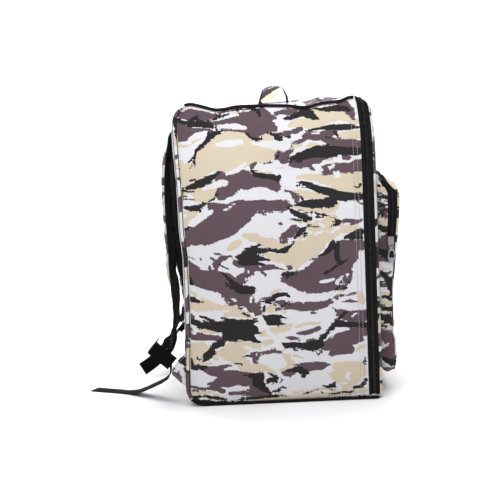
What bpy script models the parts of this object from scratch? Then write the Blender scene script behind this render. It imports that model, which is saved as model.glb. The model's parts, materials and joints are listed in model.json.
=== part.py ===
"""Board game backpack: a big soft box bag with a U-shaped zip, a front pocket, two padded
shoulder straps, adjusting webbing and a top handle. Metres, +Z up, front toward -Y,
straps toward +Y, standing on the floor at Z = 0, centred on X = 0."""

import math

import bmesh
import bpy
from mathutils import Vector

# Driving sizes of the bag, in metres
BAG_WIDTH = 0.340
BAG_HEIGHT = 0.500
HALF = BAG_WIDTH / 2
GAP = 0.0004
CLOTH = 0.0025
LOWER_CORNER = 0.007
UPPER_CORNER = 0.010

# Places along the depth of the bag
ZIP_BACK = -0.1405
ZIP_FRONT = -0.1590
PANEL_FACE = -0.1665
SIDE_BACK = 0.1600
BACK_FACE = 0.1700

# Pocket on the front panel
POCKET_HALF = 0.135
POCKET_LOW = 0.034
POCKET_TOP = 0.382
POCKET_ZIP_END = 0.250
POCKET_CORNER_LOW = 0.018
POCKET_CORNER_TOP = 0.028

# Zip tape
TAPE = 0.0016
PIPING_RADIUS = 0.0025

# Webbing, straps and buckles
WEBBING_WIDTH = 0.025
WEBBING_THICK = 0.0015
STRAP_WIDTH = 0.066
BUCKLE_WIDTH = 0.034
BUCKLE_BAR = 0.0040
BUCKLE_SLOT = 0.0065
BUCKLE_THICK = 0.0045
BUCKLE_INSET = 0.035
BUCKLE_X = HALF - BUCKLE_INSET
BUCKLE_Y = 0.1870
BUCKLE_Z = 0.1060
STAND_LEFT = 0.0435
STAND_RIGHT = 0.0100

# Pocket zip pull
PULL_STAND = 0.0052
PULL_AXIS_X = -(POCKET_HALF + PULL_STAND)
PULL_AXIS_Z = 0.2500
PULL_MID_Y = -0.1893
PIN_RADIUS = 0.0008
PIN_CLEARANCE = 0.0003

# Colours and roughness of the plain materials
CAMO = ("camo_cloth", (0.50, 0.42, 0.38), 0.9, 0.0)
BLACK = ("black_webbing", (0.02, 0.02, 0.022), 0.75, 0.0)
MESH = ("black_mesh", (0.03, 0.03, 0.032), 0.95, 0.0)
PLASTIC = ("black_plastic", (0.02, 0.02, 0.02), 0.35, 0.0)
METAL = ("silver_metal", (0.72, 0.73, 0.75), 0.25, 1.0)

# Sag of the near top edges: depth, drop
TOP_SAG = (
    (-0.170, 0.000), (-0.133, 0.000), (-0.117, -0.005), (-0.079, -0.008), (-0.052, -0.013),
    (-0.020, -0.009), (0.021, -0.007), (0.054, -0.007), (0.088, -0.011), (0.120, -0.003),
    (0.135, 0.000), (0.200, 0.000),
)
# Rise of the top panel at its middle: depth, rise
TOP_RISE = (
    (-0.170, 0.004), (-0.140, 0.008), (-0.100, 0.018), (-0.055, 0.020), (0.000, 0.010),
    (0.060, 0.007), (0.110, 0.004), (0.150, 0.000), (0.200, 0.000),
)
# Hollow of the back: height, shift along the depth
BACK_HOLLOW = (
    (0.000, 0.000), (0.042, -0.001), (0.100, -0.004), (0.157, -0.006), (0.245, -0.007),
    (0.300, -0.003), (0.342, -0.003), (0.407, -0.001), (0.436, 0.000), (0.500, 0.001),
)
# Lean of the front near its top: height, shift along the depth
FRONT_LEAN = (
    (0.000, 0.000), (0.400, 0.000), (0.440, 0.001), (0.460, 0.0025), (0.475, 0.004),
    (0.490, 0.006), (0.500, 0.008), (0.600, 0.008),
)
# Rounding of the back of the shell: depth, side inset, top drop, bottom rise
BACK_ROWS = (
    (0.135, 0.0000, 0.000, 0.0000),
    (0.148, 0.0000, 0.005, 0.0030),
    (0.156, 0.0000, 0.014, 0.0090),
    (SIDE_BACK, 0.0005, 0.024, 0.0210),
    (0.1645, 0.0045, 0.032, 0.0300),
    (0.1675, 0.0120, 0.043, 0.0420),
    (0.1692, 0.0270, 0.062, 0.0600),
    (BACK_FACE, 0.0600, 0.110, 0.1100),
)
# Rounding of the front panel: depth, side inset, top drop
FRONT_ROWS = (
    (-0.1595, 0.0010, 0.0105),
    (-0.1610, 0.0010, 0.0105),
    (-0.1632, 0.0035, 0.0140),
    (-0.1648, 0.0080, 0.0200),
    (-0.1660, 0.0200, 0.0340),
    (PANEL_FACE, 0.0340, 0.0500),
)
# Ribs across a zip band: share of its width, height above the tape
ZIP_RIBS = (
    (0.00, 0.0000), (0.30, 0.0008), (0.37, 0.0000), (0.45, 0.0012),
    (0.55, 0.0012), (0.63, 0.0000), (0.70, 0.0008), (1.00, 0.0000),
)
# Depth of the pocket: height, depth
POCKET_DEPTH = (
    (0.000, 0.026), (0.040, 0.026), (0.060, 0.027), (0.092, 0.0265), (0.106, 0.0235),
    (0.170, 0.025), (0.216, 0.029), (0.292, 0.037), (0.330, 0.0395), (0.360, 0.0390),
    (0.400, 0.0370),
)
# Section of the pocket wall: share of the depth, top drop, bottom rise
POCKET_WALL = (
    (0.00, 0.000, 0.009), (0.06, 0.000, 0.009), (0.25, 0.007, 0.003), (0.50, 0.014, 0.000), (0.88, 0.022, 0.002),
    (0.945, 0.022, 0.002), (1.00, 0.030, 0.008),
)
POCKET_ZIP_SHARES = (0.50, 0.88)
POCKET_ZIP_SHARES_TOP = (0.08, 0.46)

# Back pad: height, thickness at the middle
PAD_ROWS = (
    (0.195, 0.0012), (0.204, 0.0040), (0.220, 0.0075), (0.260, 0.0098), (0.310, 0.0100),
    (0.355, 0.0098), (0.385, 0.0075), (0.408, 0.0045), (0.420, 0.0012),
)
# Shoulder strap: sideways place for a buckle at its last row, outer depth, height,
# thickness, share of the width
STRAP_ROWS = (
    (0.062, 0.1717, 0.4640, 0.0045, 0.90),
    (0.063, 0.1795, 0.4530, 0.0070, 0.98),
    (0.065, 0.1850, 0.4350, 0.0105, 1.00),
    (0.068, 0.1900, 0.4130, 0.0135, 1.00),
    (0.071, 0.1932, 0.3900, 0.0150, 1.00),
    (0.075, 0.1950, 0.3600, 0.0158, 1.00),
    (0.080, 0.1952, 0.3280, 0.0162, 1.00),
    (0.086, 0.1942, 0.2960, 0.0162, 1.00),
    (0.093, 0.1925, 0.2580, 0.0160, 1.00),
    (0.101, 0.1908, 0.2200, 0.0150, 1.00),
    (0.109, 0.1868, 0.1880, 0.0128, 0.98),
    (0.117, 0.1845, 0.1600, 0.0108, 0.90),
    (0.126, 0.1834, 0.1420, 0.0090, 0.72),
    (0.131, 0.1834, 0.1345, 0.0066, 0.56),
    (0.134, 0.1838, 0.1275, 0.0040, 0.46),
    (0.135, 0.1851, 0.1215, 0.0036, 0.42),
)
# Top handle: sideways place, height above the top, width, thickness
HANDLE_ROWS = (
    (-0.098, 0.0022, 0.046, 0.0036),
    (-0.082, 0.0025, 0.047, 0.0040),
    (-0.070, 0.0075, 0.046, 0.0055),
    (-0.056, 0.0160, 0.040, 0.0085),
    (-0.036, 0.0235, 0.035, 0.0120),
    (0.000, 0.0265, 0.033, 0.0130),
    (0.036, 0.0235, 0.035, 0.0120),
    (0.056, 0.0160, 0.040, 0.0085),
    (0.070, 0.0075, 0.046, 0.0055),
    (0.082, 0.0025, 0.047, 0.0040),
    (0.098, 0.0022, 0.046, 0.0036),
)
# Gusset tab at the lower back corner: depth, height
GUSSET_OUTLINE = (
    (0.1650, 0.0925), (0.1745, 0.0830), (0.1880, 0.0610), (0.1880, 0.0550), (0.1830, 0.0500),
    (0.1720, 0.0390), (0.1650, 0.0330),
)
# Inner and outer face of the gusset, inward from the side of the bag
GUSSET_INSETS = (0.0045, 0.0005)
# Way out of the anchor webbing from the gusset, as a direction along depth and height
ANCHOR_START = (0.1848, 0.0728)
ANCHOR_WAY = (0.745, 0.667)
# Left tail of the adjusting webbing: distance inward of the buckle, depth, height
LEFT_TAIL = (
    (0.0010, 0.1920, 0.0790), (0.0040, 0.1915, 0.0660), (0.0080, 0.1920, 0.0540),
    (0.0130, 0.1955, 0.0440), (0.0210, 0.2040, 0.0350), (0.0310, 0.2170, 0.0265),
    (0.0420, 0.2320, 0.0180), (0.0540, 0.2470, 0.0100), (0.0660, 0.2610, 0.0040),
    (0.0770, 0.2760, 0.0012), (0.0880, 0.2970, 0.0010), (0.0980, 0.3190, 0.0010),
    (0.1100, 0.3420, 0.0010),
)
# Right tail: distance inward of the buckle, depth, height, then the way of its width
RIGHT_TAIL = (
    (0.0010, 0.2000, 0.0860, 1.00, 0.00, 0.00), (0.0050, 0.2045, 0.0765, 0.98, 0.12, 0.15),
    (0.0130, 0.2085, 0.0675, 0.90, 0.25, 0.34), (0.0250, 0.2125, 0.0590, 0.72, 0.40, 0.56),
    (0.0390, 0.2160, 0.0505, 0.50, 0.50, 0.70), (0.0530, 0.2240, 0.0430, 0.28, 0.56, 0.78),
    (0.0670, 0.2350, 0.0345, 0.10, 0.58, 0.80), (0.0780, 0.2480, 0.0260, 0.00, 0.59, 0.81),
    (0.0850, 0.2625, 0.0180, 0.00, 0.59, 0.81),
)


def column(table, key):
    """Read a two-column table at a key, straight between its rows."""
    if key <= table[0][0]:
        return table[0][1]
    for (a, va), (b, vb) in zip(table, table[1:]):
        if key <= b:
            return va + (vb - va) * (key - a) / (b - a)
    return table[-1][1]


def ease(low, high, value):
    """Go smoothly from 0 at low to 1 at high."""
    share = min(1.0, max(0.0, (value - low) / (high - low)))
    return share * share * (3 - 2 * share)


def drape(point):
    """Turn a point of the square box bag into the same point of the soft, sagging one."""
    x, y, z = point
    side = min(1.0, abs(x) / HALF)
    lift = ease(0.28, BAG_HEIGHT, z)
    rise = column(TOP_RISE, y) * (1 - side * side)
    new_z = z + lift * (column(TOP_SAG, y) + rise)
    back = ease(0.0, 0.13, y) * column(BACK_HOLLOW, z)
    front = ease(0.05, 0.13, -y) * column(FRONT_LEAN, z)
    new_y = y + back + front
    along = max(0.0, 1 - (y / 0.140) ** 2)
    up = math.sin(math.pi * min(1.0, max(0.0, z / BAG_HEIGHT)))
    crease = math.exp(-(((y - 0.012) / 0.022) ** 2)) * ease(0.26, 0.47, z)
    swell = 0.0045 * along * up - 0.0035 * crease * along
    return (x + math.copysign(1.0, x) * side * swell, new_y, new_z)


def loop(half, low, top, low_corner, top_corner, counts, side_shares):
    """A rounded rectangle in X and Z, from the bottom left corner round to its start."""
    across_low, round_low, round_top, across_top = counts
    points = []
    for k in range(across_low):
        share = k / across_low
        points.append((-half + low_corner + (2 * half - 2 * low_corner) * share, low))

    def corner(cx, cz, radius, start, steps):
        for k in range(steps):
            angle = math.radians(start + 90 * k / steps)
            points.append((cx + radius * math.cos(angle), cz + radius * math.sin(angle)))

    corner(half - low_corner, low + low_corner, low_corner, -90, round_low)
    run = top - top_corner - low - low_corner
    for share in side_shares[:-1]:
        points.append((half, low + low_corner + run * share))
    corner(half - top_corner, top - top_corner, top_corner, 0, round_top)
    for k in range(across_top):
        share = k / across_top
        points.append((half - top_corner - (2 * half - 2 * top_corner) * share, top))
    corner(-half + top_corner, top - top_corner, top_corner, 90, round_top)
    for share in reversed(side_shares[1:]):
        points.append((-half, low + low_corner + run * share))
    corner(-half + low_corner, low + low_corner, low_corner, 180, round_low)
    return points


def material(kind):
    name, colour, rough, metal = kind
    found = bpy.data.materials.get(name)
    if found:
        return found
    made = bpy.data.materials.new(name)
    made.use_nodes = True
    shader = made.node_tree.nodes["Principled BSDF"]
    shader.inputs["Base Color"].default_value = (*colour, 1.0)
    shader.inputs["Roughness"].default_value = rough
    shader.inputs["Metallic"].default_value = metal
    return made


def place(name, mesh, kind, collection="board_game_backpack"):
    made = bpy.data.objects.new(name, mesh)
    mesh.materials.append(material(kind))
    bpy.data.collections[collection].objects.link(made)
    return made


def mesh_of(name, points, faces):
    mesh = bpy.data.meshes.new(name)
    mesh.from_pydata(points, [], faces)
    mesh.update()
    return mesh


def face_out(mesh):
    """Turn every face of a closed solid outward."""
    work = bmesh.new()
    work.from_mesh(mesh)
    bmesh.ops.recalc_face_normals(work, faces=work.faces)
    work.to_mesh(mesh)
    work.free()


def level_cap(first, size, counts, side_points):
    """Faces that close a loop with level strips from side to side."""
    low = counts[0] + 1
    high = counts[0] + counts[1] + side_points + counts[2] - 1

    def across(index):
        return (counts[0] - index) % size

    faces = [[across(low)] + list(range(0, low + 1))]
    for index in range(low, high):
        faces.append([index, index + 1, across(index + 1), across(index)])
    faces.append(list(range(high, across(high) + 1)))
    return [tuple(first + index for index in face) for face in faces]


def skin(rings, closed, outward_back, cap=None):
    """Points and faces of an open skin through rings of equal length."""
    points = [p for ring in rings for p in ring]
    size = len(rings[0])
    faces = []
    for j in range(len(rings) - 1):
        for i in range(size if closed else size - 1):
            a = j * size + i
            b = j * size + (i + 1) % size
            c = a + size
            d = b + size
            faces.append((a, c, d, b) if outward_back else (a, b, d, c))
    if cap:
        counts, side_points = cap
        for face in level_cap((len(rings) - 1) * size, size, counts, side_points):
            faces.append(tuple(reversed(face)) if outward_back else face)
    return points, faces


def thicken(made, depth):
    """Give an open skin its cloth thickness, on its inner side."""
    solid = made.modifiers.new("cloth", "SOLIDIFY")
    solid.thickness = depth
    solid.offset = -1.0
    solid.use_even_offset = True
    solid.use_rim = True


def bar(name, rings, kind):
    """A closed solid through rings, with flat ends."""
    points, faces = skin(rings, True, True)
    size = len(rings[0])
    faces.append(tuple(range(size)))
    faces.append(tuple((len(rings) - 1) * size + i for i in reversed(range(size))))
    mesh = mesh_of(name, points, faces)
    face_out(mesh)
    return place(name, mesh, kind)


def tangents(path):
    """Unit directions along a list of points."""
    ways = []
    for k in range(len(path)):
        before = Vector(path[max(0, k - 1)])
        after = Vector(path[min(len(path) - 1, k + 1)])
        ways.append((after - before).normalized())
    return ways


def ribbon(name, rows, kind, width=WEBBING_WIDTH, thick=WEBBING_THICK):
    """Flat webbing through rows of a middle point and the direction of its width."""
    ways = tangents([row[0] for row in rows])
    rings = []
    for (middle, across), way in zip(rows, ways):
        middle = Vector(middle)
        across = Vector(across)
        across = (across - way * across.dot(way)).normalized()
        up = way.cross(across)
        rings.append([
            tuple(middle + across * sx * width / 2 + up * sy * thick / 2)
            for sx, sy in ((-1, -1), (1, -1), (1, 1), (-1, 1))
        ])
    return bar(name, rings, kind)


def cushion_ring(middle, across, up, width, thick, steps=3):
    """A flat oval section with rounded sides."""
    radius = thick / 2 * 0.98
    flat = width / 2 - radius
    ring = []
    for side, start in ((1, -90), (-1, 90)):
        for k in range(steps + 1):
            angle = math.radians(start + 180 * k / steps)
            reach = side * flat + radius * math.cos(angle)
            height = thick / 2 * math.sin(angle)
            ring.append(tuple(Vector(middle) + across * reach + up * height))
    return ring


def tube(name, path, radius, kind, sides=6):
    """A round cord through points."""
    ways = tangents(path)
    rings = []
    for middle, way in zip(path, ways):
        first = way.cross(Vector((1, 0, 0))).normalized()
        second = way.cross(first)
        ring = []
        for k in range(sides):
            angle = 2 * math.pi * k / sides
            ring.append(tuple(
                Vector(middle) + (first * math.cos(angle) + second * math.sin(angle)) * radius))
        rings.append(ring)
    return bar(name, rings, kind)


# Depths of the sections of the shell and of its piping
BODY_DEPTHS = (-0.117, -0.079, -0.052, -0.020, 0.000, 0.021, 0.054, 0.088, 0.118)
# Columns round the shell, the same for shell, zip band and front panel
SHELL_COUNTS = (4, 3, 3, 8)
STEP_SHARE = 0.0022
SIDE_SHARES = (0.0, STEP_SHARE, 0.10, 0.22, 0.34, 0.46, 0.58, 0.70, 0.81, 0.91, 1.0)


def shell_loop(inset=0.0, drop=0.0, rise=0.0, raised=0.0):
    """The loop of the bag at one depth; raised moves it outward, as for a rib."""
    corner = max(0.004, UPPER_CORNER - inset * 0.2)
    return loop(
        HALF - inset + raised, rise, BAG_HEIGHT - drop + raised,
        LOWER_CORNER, corner, SHELL_COUNTS, SIDE_SHARES)


def shell_spans():
    """Index of the first side column above the step, and of the last one over the top."""
    first = SHELL_COUNTS[0] + SHELL_COUNTS[1] + 1
    count = len(shell_loop())
    last = count - SHELL_COUNTS[1] - 1
    return first, last


def make_shell():
    first, last = shell_spans()
    plain = shell_loop()
    edge = []
    for index, (x, z) in enumerate(plain):
        above = first <= index <= last
        edge.append((x, ZIP_BACK if above else ZIP_FRONT, z))
    rings = [edge]
    for y in BODY_DEPTHS:
        rings.append([(x, y, z) for x, z in plain])
    for y, inset, drop, rise in BACK_ROWS:
        rings.append([(x, y, z) for x, z in shell_loop(inset, drop, rise)])
    rings = [[drape(p) for p in ring] for ring in rings]
    points, faces = skin(rings, True, True, (SHELL_COUNTS, len(SIDE_SHARES) - 1))
    made = place("body_shell", mesh_of("body_shell", points, faces), CAMO)
    thicken(made, CLOTH)


def zip_drop(share):
    return 0.0100 * share * share


def make_zip_band():
    first, last = shell_spans()
    rings = []
    for share, rib in ZIP_RIBS:
        y = ZIP_BACK - GAP + (ZIP_FRONT - ZIP_BACK + GAP) * share
        ring = shell_loop(0.001 * share, zip_drop(share), 0.0, rib)[first:last + 1]
        foot = GAP + 0.0004
        ring[0] = (ring[0][0], ring[0][1] + foot)
        ring[-1] = (ring[-1][0], ring[-1][1] + foot)
        rings.append([drape((x, y, z)) for x, z in ring])
    points, faces = skin(rings, False, False)
    made = place("main_zip_band", mesh_of("main_zip_band", points, faces), BLACK)
    thicken(made, TAPE)


def make_front_panel():
    rings = []
    for y, inset, drop in FRONT_ROWS:
        rise = max(0.0, inset - 0.001)
        ring = shell_loop(inset, drop, rise)
        rings.append([drape((x, y, z)) for x, z in ring])
    points, faces = skin(rings, True, False, (SHELL_COUNTS, len(SIDE_SHARES) - 1))
    made = place("front_panel", mesh_of("front_panel", points, faces), CAMO)
    thicken(made, CLOTH)


def piping_path(sign):
    """Middle of the piping that runs along the edges of a side panel."""
    reach = PIPING_RADIUS + 0.0006
    path = []
    low_turn = math.radians(-25)
    low_x = HALF - LOWER_CORNER + (LOWER_CORNER + reach) * math.cos(low_turn)
    low_z = LOWER_CORNER + (LOWER_CORNER + reach) * math.sin(low_turn)
    top_turn = math.radians(45)
    top_x = HALF - UPPER_CORNER + (UPPER_CORNER + reach) * math.cos(top_turn)
    top_z = BAG_HEIGHT - UPPER_CORNER + (UPPER_CORNER + reach) * math.sin(top_turn)
    side_x = HALF + reach * 0.86
    back_y = SIDE_BACK + reach * 0.5
    for y in (ZIP_FRONT + 0.002, *BODY_DEPTHS, 0.133):
        path.append((low_x, y, low_z))
    path.append((low_x + 0.0004, 0.1475, low_z + 0.0032))
    path.append((side_x, 0.1560, 0.0125))
    path.append((side_x, back_y - 0.001, 0.0240))
    for z in (0.042, 0.080, 0.120, 0.157, 0.200, 0.245, 0.272, 0.300, 0.342, 0.380, 0.407, 0.436):
        path.append((side_x, back_y, z))
    path.append((side_x, back_y, 0.4600))
    path.append((side_x, back_y - 0.001, 0.4740))
    path.append((side_x, 0.1560, 0.4850))
    path.append(((side_x + top_x) / 2 + 0.0006, 0.1490, 0.4925))
    for y in (0.1350, *reversed(BODY_DEPTHS), -0.1385):
        path.append((top_x, y, top_z))
    return [drape((sign * x, y, z)) for x, y, z in path]


def make_piping():
    for name, sign in (("side_piping_left", -1), ("side_piping_right", 1)):
        tube(name, piping_path(sign), PIPING_RADIUS, BLACK)


# Columns round the pocket
POCKET_COUNTS = (4, 3, 4, 6)


def pocket_shares():
    """Side columns, with a narrow step where the pocket zip ends."""
    low = POCKET_LOW + POCKET_CORNER_LOW
    run = POCKET_TOP - POCKET_CORNER_TOP - low
    end = (POCKET_ZIP_END - low) / run
    return (0.0, 0.14, 0.19, 0.40, 0.58, end - 0.004, end, 0.82, 1.0)


def pocket_loop():
    return loop(
        POCKET_HALF, POCKET_LOW, POCKET_TOP, POCKET_CORNER_LOW, POCKET_CORNER_TOP,
        POCKET_COUNTS, pocket_shares())


def pocket_point(index, share, inset=0.0, raised=0.0):
    """A point of the pocket wall: column, share of the depth, inset toward the face middle."""
    x, z = pocket_loop()[index]
    drop = column([(row[0], row[1]) for row in POCKET_WALL], share)
    rise = column([(row[0], row[2]) for row in POCKET_WALL], share)
    high = ease(POCKET_TOP - POCKET_CORNER_TOP - 0.03, POCKET_TOP, z)
    low = 1 - ease(POCKET_LOW, POCKET_LOW + 0.03, z)
    new_z = z - high * drop + low * rise
    mid_z = (POCKET_LOW + POCKET_TOP) / 2
    away = inset - raised
    new_x = x * (1 - away / POCKET_HALF)
    new_z = new_z + (mid_z - new_z) * away / (POCKET_TOP - mid_z)
    depth = column(POCKET_DEPTH, z if inset < 0.001 else new_z)
    return (new_x, PANEL_FACE - GAP - depth * share, new_z)


def pocket_zip_edges(index):
    """Where the pocket zip starts and ends across the wall at one column."""
    x, z = pocket_loop()[index]
    if z < POCKET_ZIP_END - 0.0001:
        return None
    turn = ease(POCKET_TOP - POCKET_CORNER_TOP, POCKET_TOP - 0.002, z)
    start = POCKET_ZIP_SHARES[0] + (POCKET_ZIP_SHARES_TOP[0] - POCKET_ZIP_SHARES[0]) * turn
    end = POCKET_ZIP_SHARES[1] + (POCKET_ZIP_SHARES_TOP[1] - POCKET_ZIP_SHARES[1]) * turn
    return start, end


def make_pocket():
    count = len(pocket_loop())
    wall = []
    for part in (0.0, 0.12, 0.5, 1.0):
        ring = []
        for index in range(count):
            edges = pocket_zip_edges(index)
            outer = edges[0] if edges else POCKET_ZIP_SHARES[1]
            outer = max(0.05, outer - 0.06 * (POCKET_ZIP_SHARES[0] - min(outer, 0.5)))
            ring.append(pocket_point(index, outer * part))
        wall.append(ring)
    points, faces = skin(wall, True, False)
    made = place("pocket_gusset", mesh_of("pocket_gusset", points, faces), CAMO)
    thicken(made, 0.0016)

    zipped = [i for i in range(count) if pocket_zip_edges(i)]
    seam = 0.016
    rings = []
    for share, rib in ZIP_RIBS:
        ring = []
        for index in zipped:
            start, end = pocket_zip_edges(index)
            start = start + seam
            ring.append(pocket_point(index, start + (end - start) * share, 0.0, rib * 0.8))
        ring[0] = (ring[0][0], ring[0][1], ring[0][2] + 0.0006)
        ring[-1] = (ring[-1][0], ring[-1][1], ring[-1][2] + 0.0006)
        rings.append(ring)
    points, faces = skin(rings, False, False)
    made = place("pocket_zip_band", mesh_of("pocket_zip_band", points, faces), BLACK)
    thicken(made, TAPE)

    front = []
    for part, inset in ((0.0, 0.0), (0.32, 0.0), (1.0, 0.004), (1.04, 0.014), (1.05, 0.040)):
        ring = []
        for index in range(count):
            edges = pocket_zip_edges(index)
            start = (edges[1] if edges else POCKET_ZIP_SHARES[1]) + seam * 1.8
            share = start + (1.0 - start) * min(part, 1.0) + max(0.0, part - 1.0)
            ring.append(pocket_point(index, share, inset))
        front.append(ring)
    points, faces = skin(front, True, False, (POCKET_COUNTS, len(pocket_shares()) - 1))
    made = place("pocket_face", mesh_of("pocket_face", points, faces), CAMO)
    thicken(made, CLOTH * 0.8)


def make_back_pad():
    rings = []
    half = 0.112
    for z, thick in PAD_ROWS:
        inner = BACK_FACE + 0.0012
        ring = []
        for share in (-1.0, -0.93, -0.75, -0.35, 0.0, 0.35, 0.75, 0.93, 1.0):
            rise = thick * (1 - abs(share) ** 6) + 0.0006
            ring.append(drape((half * share, inner + rise, z)))
        for share in (1.0, 0.75, 0.35, 0.0, -0.35, -0.75, -1.0):
            ring.append(drape((half * share, inner, z)))
        rings.append(ring)
    bar("back_pad", rings, MESH)


def strap_rows(sign):
    middles = []
    wider = BUCKLE_X / STRAP_ROWS[-1][0]
    outer = [Vector((sign * row[0] * wider, row[1], row[2])) for row in STRAP_ROWS]
    ways = tangents(outer)
    across_all = []
    for row, point, way in zip(STRAP_ROWS, outer, ways):
        across = Vector((1, 0, 0))
        across = (across - way * across.dot(way)).normalized()
        up = across.cross(way)
        if up.y < 0:
            up = -up
        middles.append(point - up * row[3] / 2)
        across_all.append((across, up))
    return middles, across_all


def make_straps():
    for name, sign in (("shoulder_strap_left", -1), ("shoulder_strap_right", 1)):
        middles, frames = strap_rows(sign)
        rings = []
        for row, middle, (across, up) in zip(STRAP_ROWS, middles, frames):
            rings.append(cushion_ring(middle, across, up, STRAP_WIDTH * row[4], row[3]))
        bar(name, rings, MESH)


def make_handle():
    rings = []
    path = [(x, 0, BAG_HEIGHT + height) for x, height, _, _ in HANDLE_ROWS]
    ways = tangents(path)
    for (x, height, width, thick), way in zip(HANDLE_ROWS, ways):
        across = Vector((0, 1, 0))
        up = way.cross(across)
        middle = (x, -0.004, BAG_HEIGHT + height)
        rings.append([drape(p) for p in cushion_ring(middle, across, up, width, thick)])
    bar("top_handle", rings, CAMO)


def make_gussets():
    for name, sign in (("gusset_left", -1), ("gusset_right", 1)):
        rings = []
        for inset in GUSSET_INSETS:
            rings.append([drape((sign * (HALF - inset), y, z)) for y, z in GUSSET_OUTLINE])
        bar(name, rings, CAMO)


def buckle_frame(sign):
    """Middle, upward and outward directions of a buckle."""
    up = Vector((0, -0.24, 0.971)).normalized()
    out = Vector((0, 0.971, 0.24)).normalized()
    return Vector((sign * BUCKLE_X, BUCKLE_Y, BUCKLE_Z)), up, out


def block(name, size, middle, kind, collection="board_game_backpack"):
    """A plain box by its size and middle."""
    hx, hy, hz = (value / 2 for value in size)
    work = bmesh.new()
    bmesh.ops.create_cube(work, size=1.0)
    for vert in work.verts:
        vert.co = Vector((vert.co.x * 2 * hx, vert.co.y * 2 * hy, vert.co.z * 2 * hz))
    mesh = bpy.data.meshes.new(name)
    work.to_mesh(mesh)
    work.free()
    made = place(name, mesh, kind, collection)
    made.location = middle
    return made


def rod(name, radius, length, middle, kind, sides=16, collection="board_game_backpack"):
    """A round rod along Y."""
    work = bmesh.new()
    bmesh.ops.create_cone(
        work, cap_ends=True, segments=sides, radius1=radius, radius2=radius, depth=length)
    mesh = bpy.data.meshes.new(name)
    work.to_mesh(mesh)
    work.free()
    made = place(name, mesh, kind, collection)
    made.location = middle
    made.rotation_euler = (math.radians(90), 0, 0)
    return made


def merge(target, tool, operation):
    """Join or cut with an exact Boolean; the tool is hidden among the cutters."""
    step = target.modifiers.new(tool.name, "BOOLEAN")
    step.operation = operation
    step.solver = "EXACT"
    step.object = tool
    tool.hide_render = True
    tool.display_type = "WIRE"


def make_buckles():
    for name, sign in (("buckle_left", -1), ("buckle_right", 1)):
        middle, up, out = buckle_frame(sign)
        tall = 3 * BUCKLE_BAR + 2 * BUCKLE_SLOT
        tilt = math.atan2(-up.y, up.z)
        made = block(name, (BUCKLE_WIDTH, BUCKLE_THICK, tall), middle, PLASTIC)
        made.rotation_euler = (tilt, 0, 0)
        for k, where in enumerate((1, -1)):
            shift = where * (BUCKLE_BAR + BUCKLE_SLOT) / 2
            slot = block(
                f"{name}_slot_{k}", (WEBBING_WIDTH + 0.002, BUCKLE_THICK * 2, BUCKLE_SLOT),
                middle + up * shift, PLASTIC, "cutters")
            slot.rotation_euler = (tilt, 0, 0)
            merge(made, slot, "DIFFERENCE")


def make_strap_loops():
    """Webbing that holds the upper bar of each buckle to the end of its strap."""
    reach = BUCKLE_THICK / 2 + WEBBING_THICK / 2 + GAP
    bar_up = BUCKLE_BAR + BUCKLE_SLOT
    for name, sign in (("strap_loop_left", -1), ("strap_loop_right", 1)):
        middle, up, out = buckle_frame(sign)
        rows = []
        for u, n in (
                (bar_up + 0.0088, 1.0), (bar_up - 0.0012, 1.0), (bar_up - 0.0030, 0.86),
                (bar_up - 0.0038, 0.45), (bar_up - 0.0040, 0.0), (bar_up - 0.0038, -0.45),
                (bar_up - 0.0030, -0.86), (bar_up - 0.0012, -1.0), (bar_up + 0.0088, -1.0)):
            rows.append((middle + up * u + out * (n * reach), (1, 0, 0)))
        ribbon(name, rows, BLACK, thick=WEBBING_THICK * 0.8)


def make_adjusters():
    """Webbing from the anchor, over the middle bar of the buckle and down to the loose tail."""
    reach = BUCKLE_THICK / 2 + WEBBING_THICK / 2 + GAP
    for name, sign, stand in (
            ("adjuster_left", -1, STAND_LEFT), ("adjuster_right", 1, STAND_RIGHT)):
        middle, up, out = buckle_frame(sign)
        x = sign * BUCKLE_X
        way = Vector((0, ANCHOR_WAY[0], ANCHOR_WAY[1])).normalized()
        lift = Vector((0, -way.z, way.y))
        enters = 1.0 if stand > 0.03 else -1.0
        low = middle + up * -0.0150 + out * (reach * enters)
        beside = stand - 0.0024 if stand > 0.03 else stand + 0.0024
        end = Vector((x, ANCHOR_START[0], ANCHOR_START[1])) + way * beside
        first_leg = (0.003, -0.004, -0.0105) if stand > 0.03 else (-0.008, -0.002, 0.005)
        rows = [(end + lift * share, (1, 0, 0)) for share in first_leg]
        turn = rows[-1][0]
        dip = -0.0065 if stand > 0.03 else 0.0
        steps = 6 if stand > 0.03 else 2
        for k in range(1, steps):
            share = k / steps
            point = turn.lerp(low, share)
            rows.append((point + Vector((0, 0, dip * math.sin(math.pi * share))), (1, 0, 0)))
        rows.append((low, (1, 0, 0)))
        for u, n in (
                (-0.0080, 1.0), (0.0014, 1.0), (0.0030, 0.86), (0.0037, 0.45), (0.0039, 0.0),
                (0.0037, -0.45), (0.0030, -0.86), (0.0014, -1.0), (-0.0080, -1.0),
                (-0.0150, -1.0)):
            rows.append((middle + up * u + out * (n * reach * enters), (1, 0, 0)))
        if sign < 0:
            for inward, y, z in LEFT_TAIL:
                rows.append((Vector((inward - BUCKLE_X, y, z)), (1, 0, 0)))
        else:
            for inward, y, z, *across in RIGHT_TAIL:
                rows.append((Vector((BUCKLE_X - inward, y, z)), across))
        ribbon(name, rows, BLACK)


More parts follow.
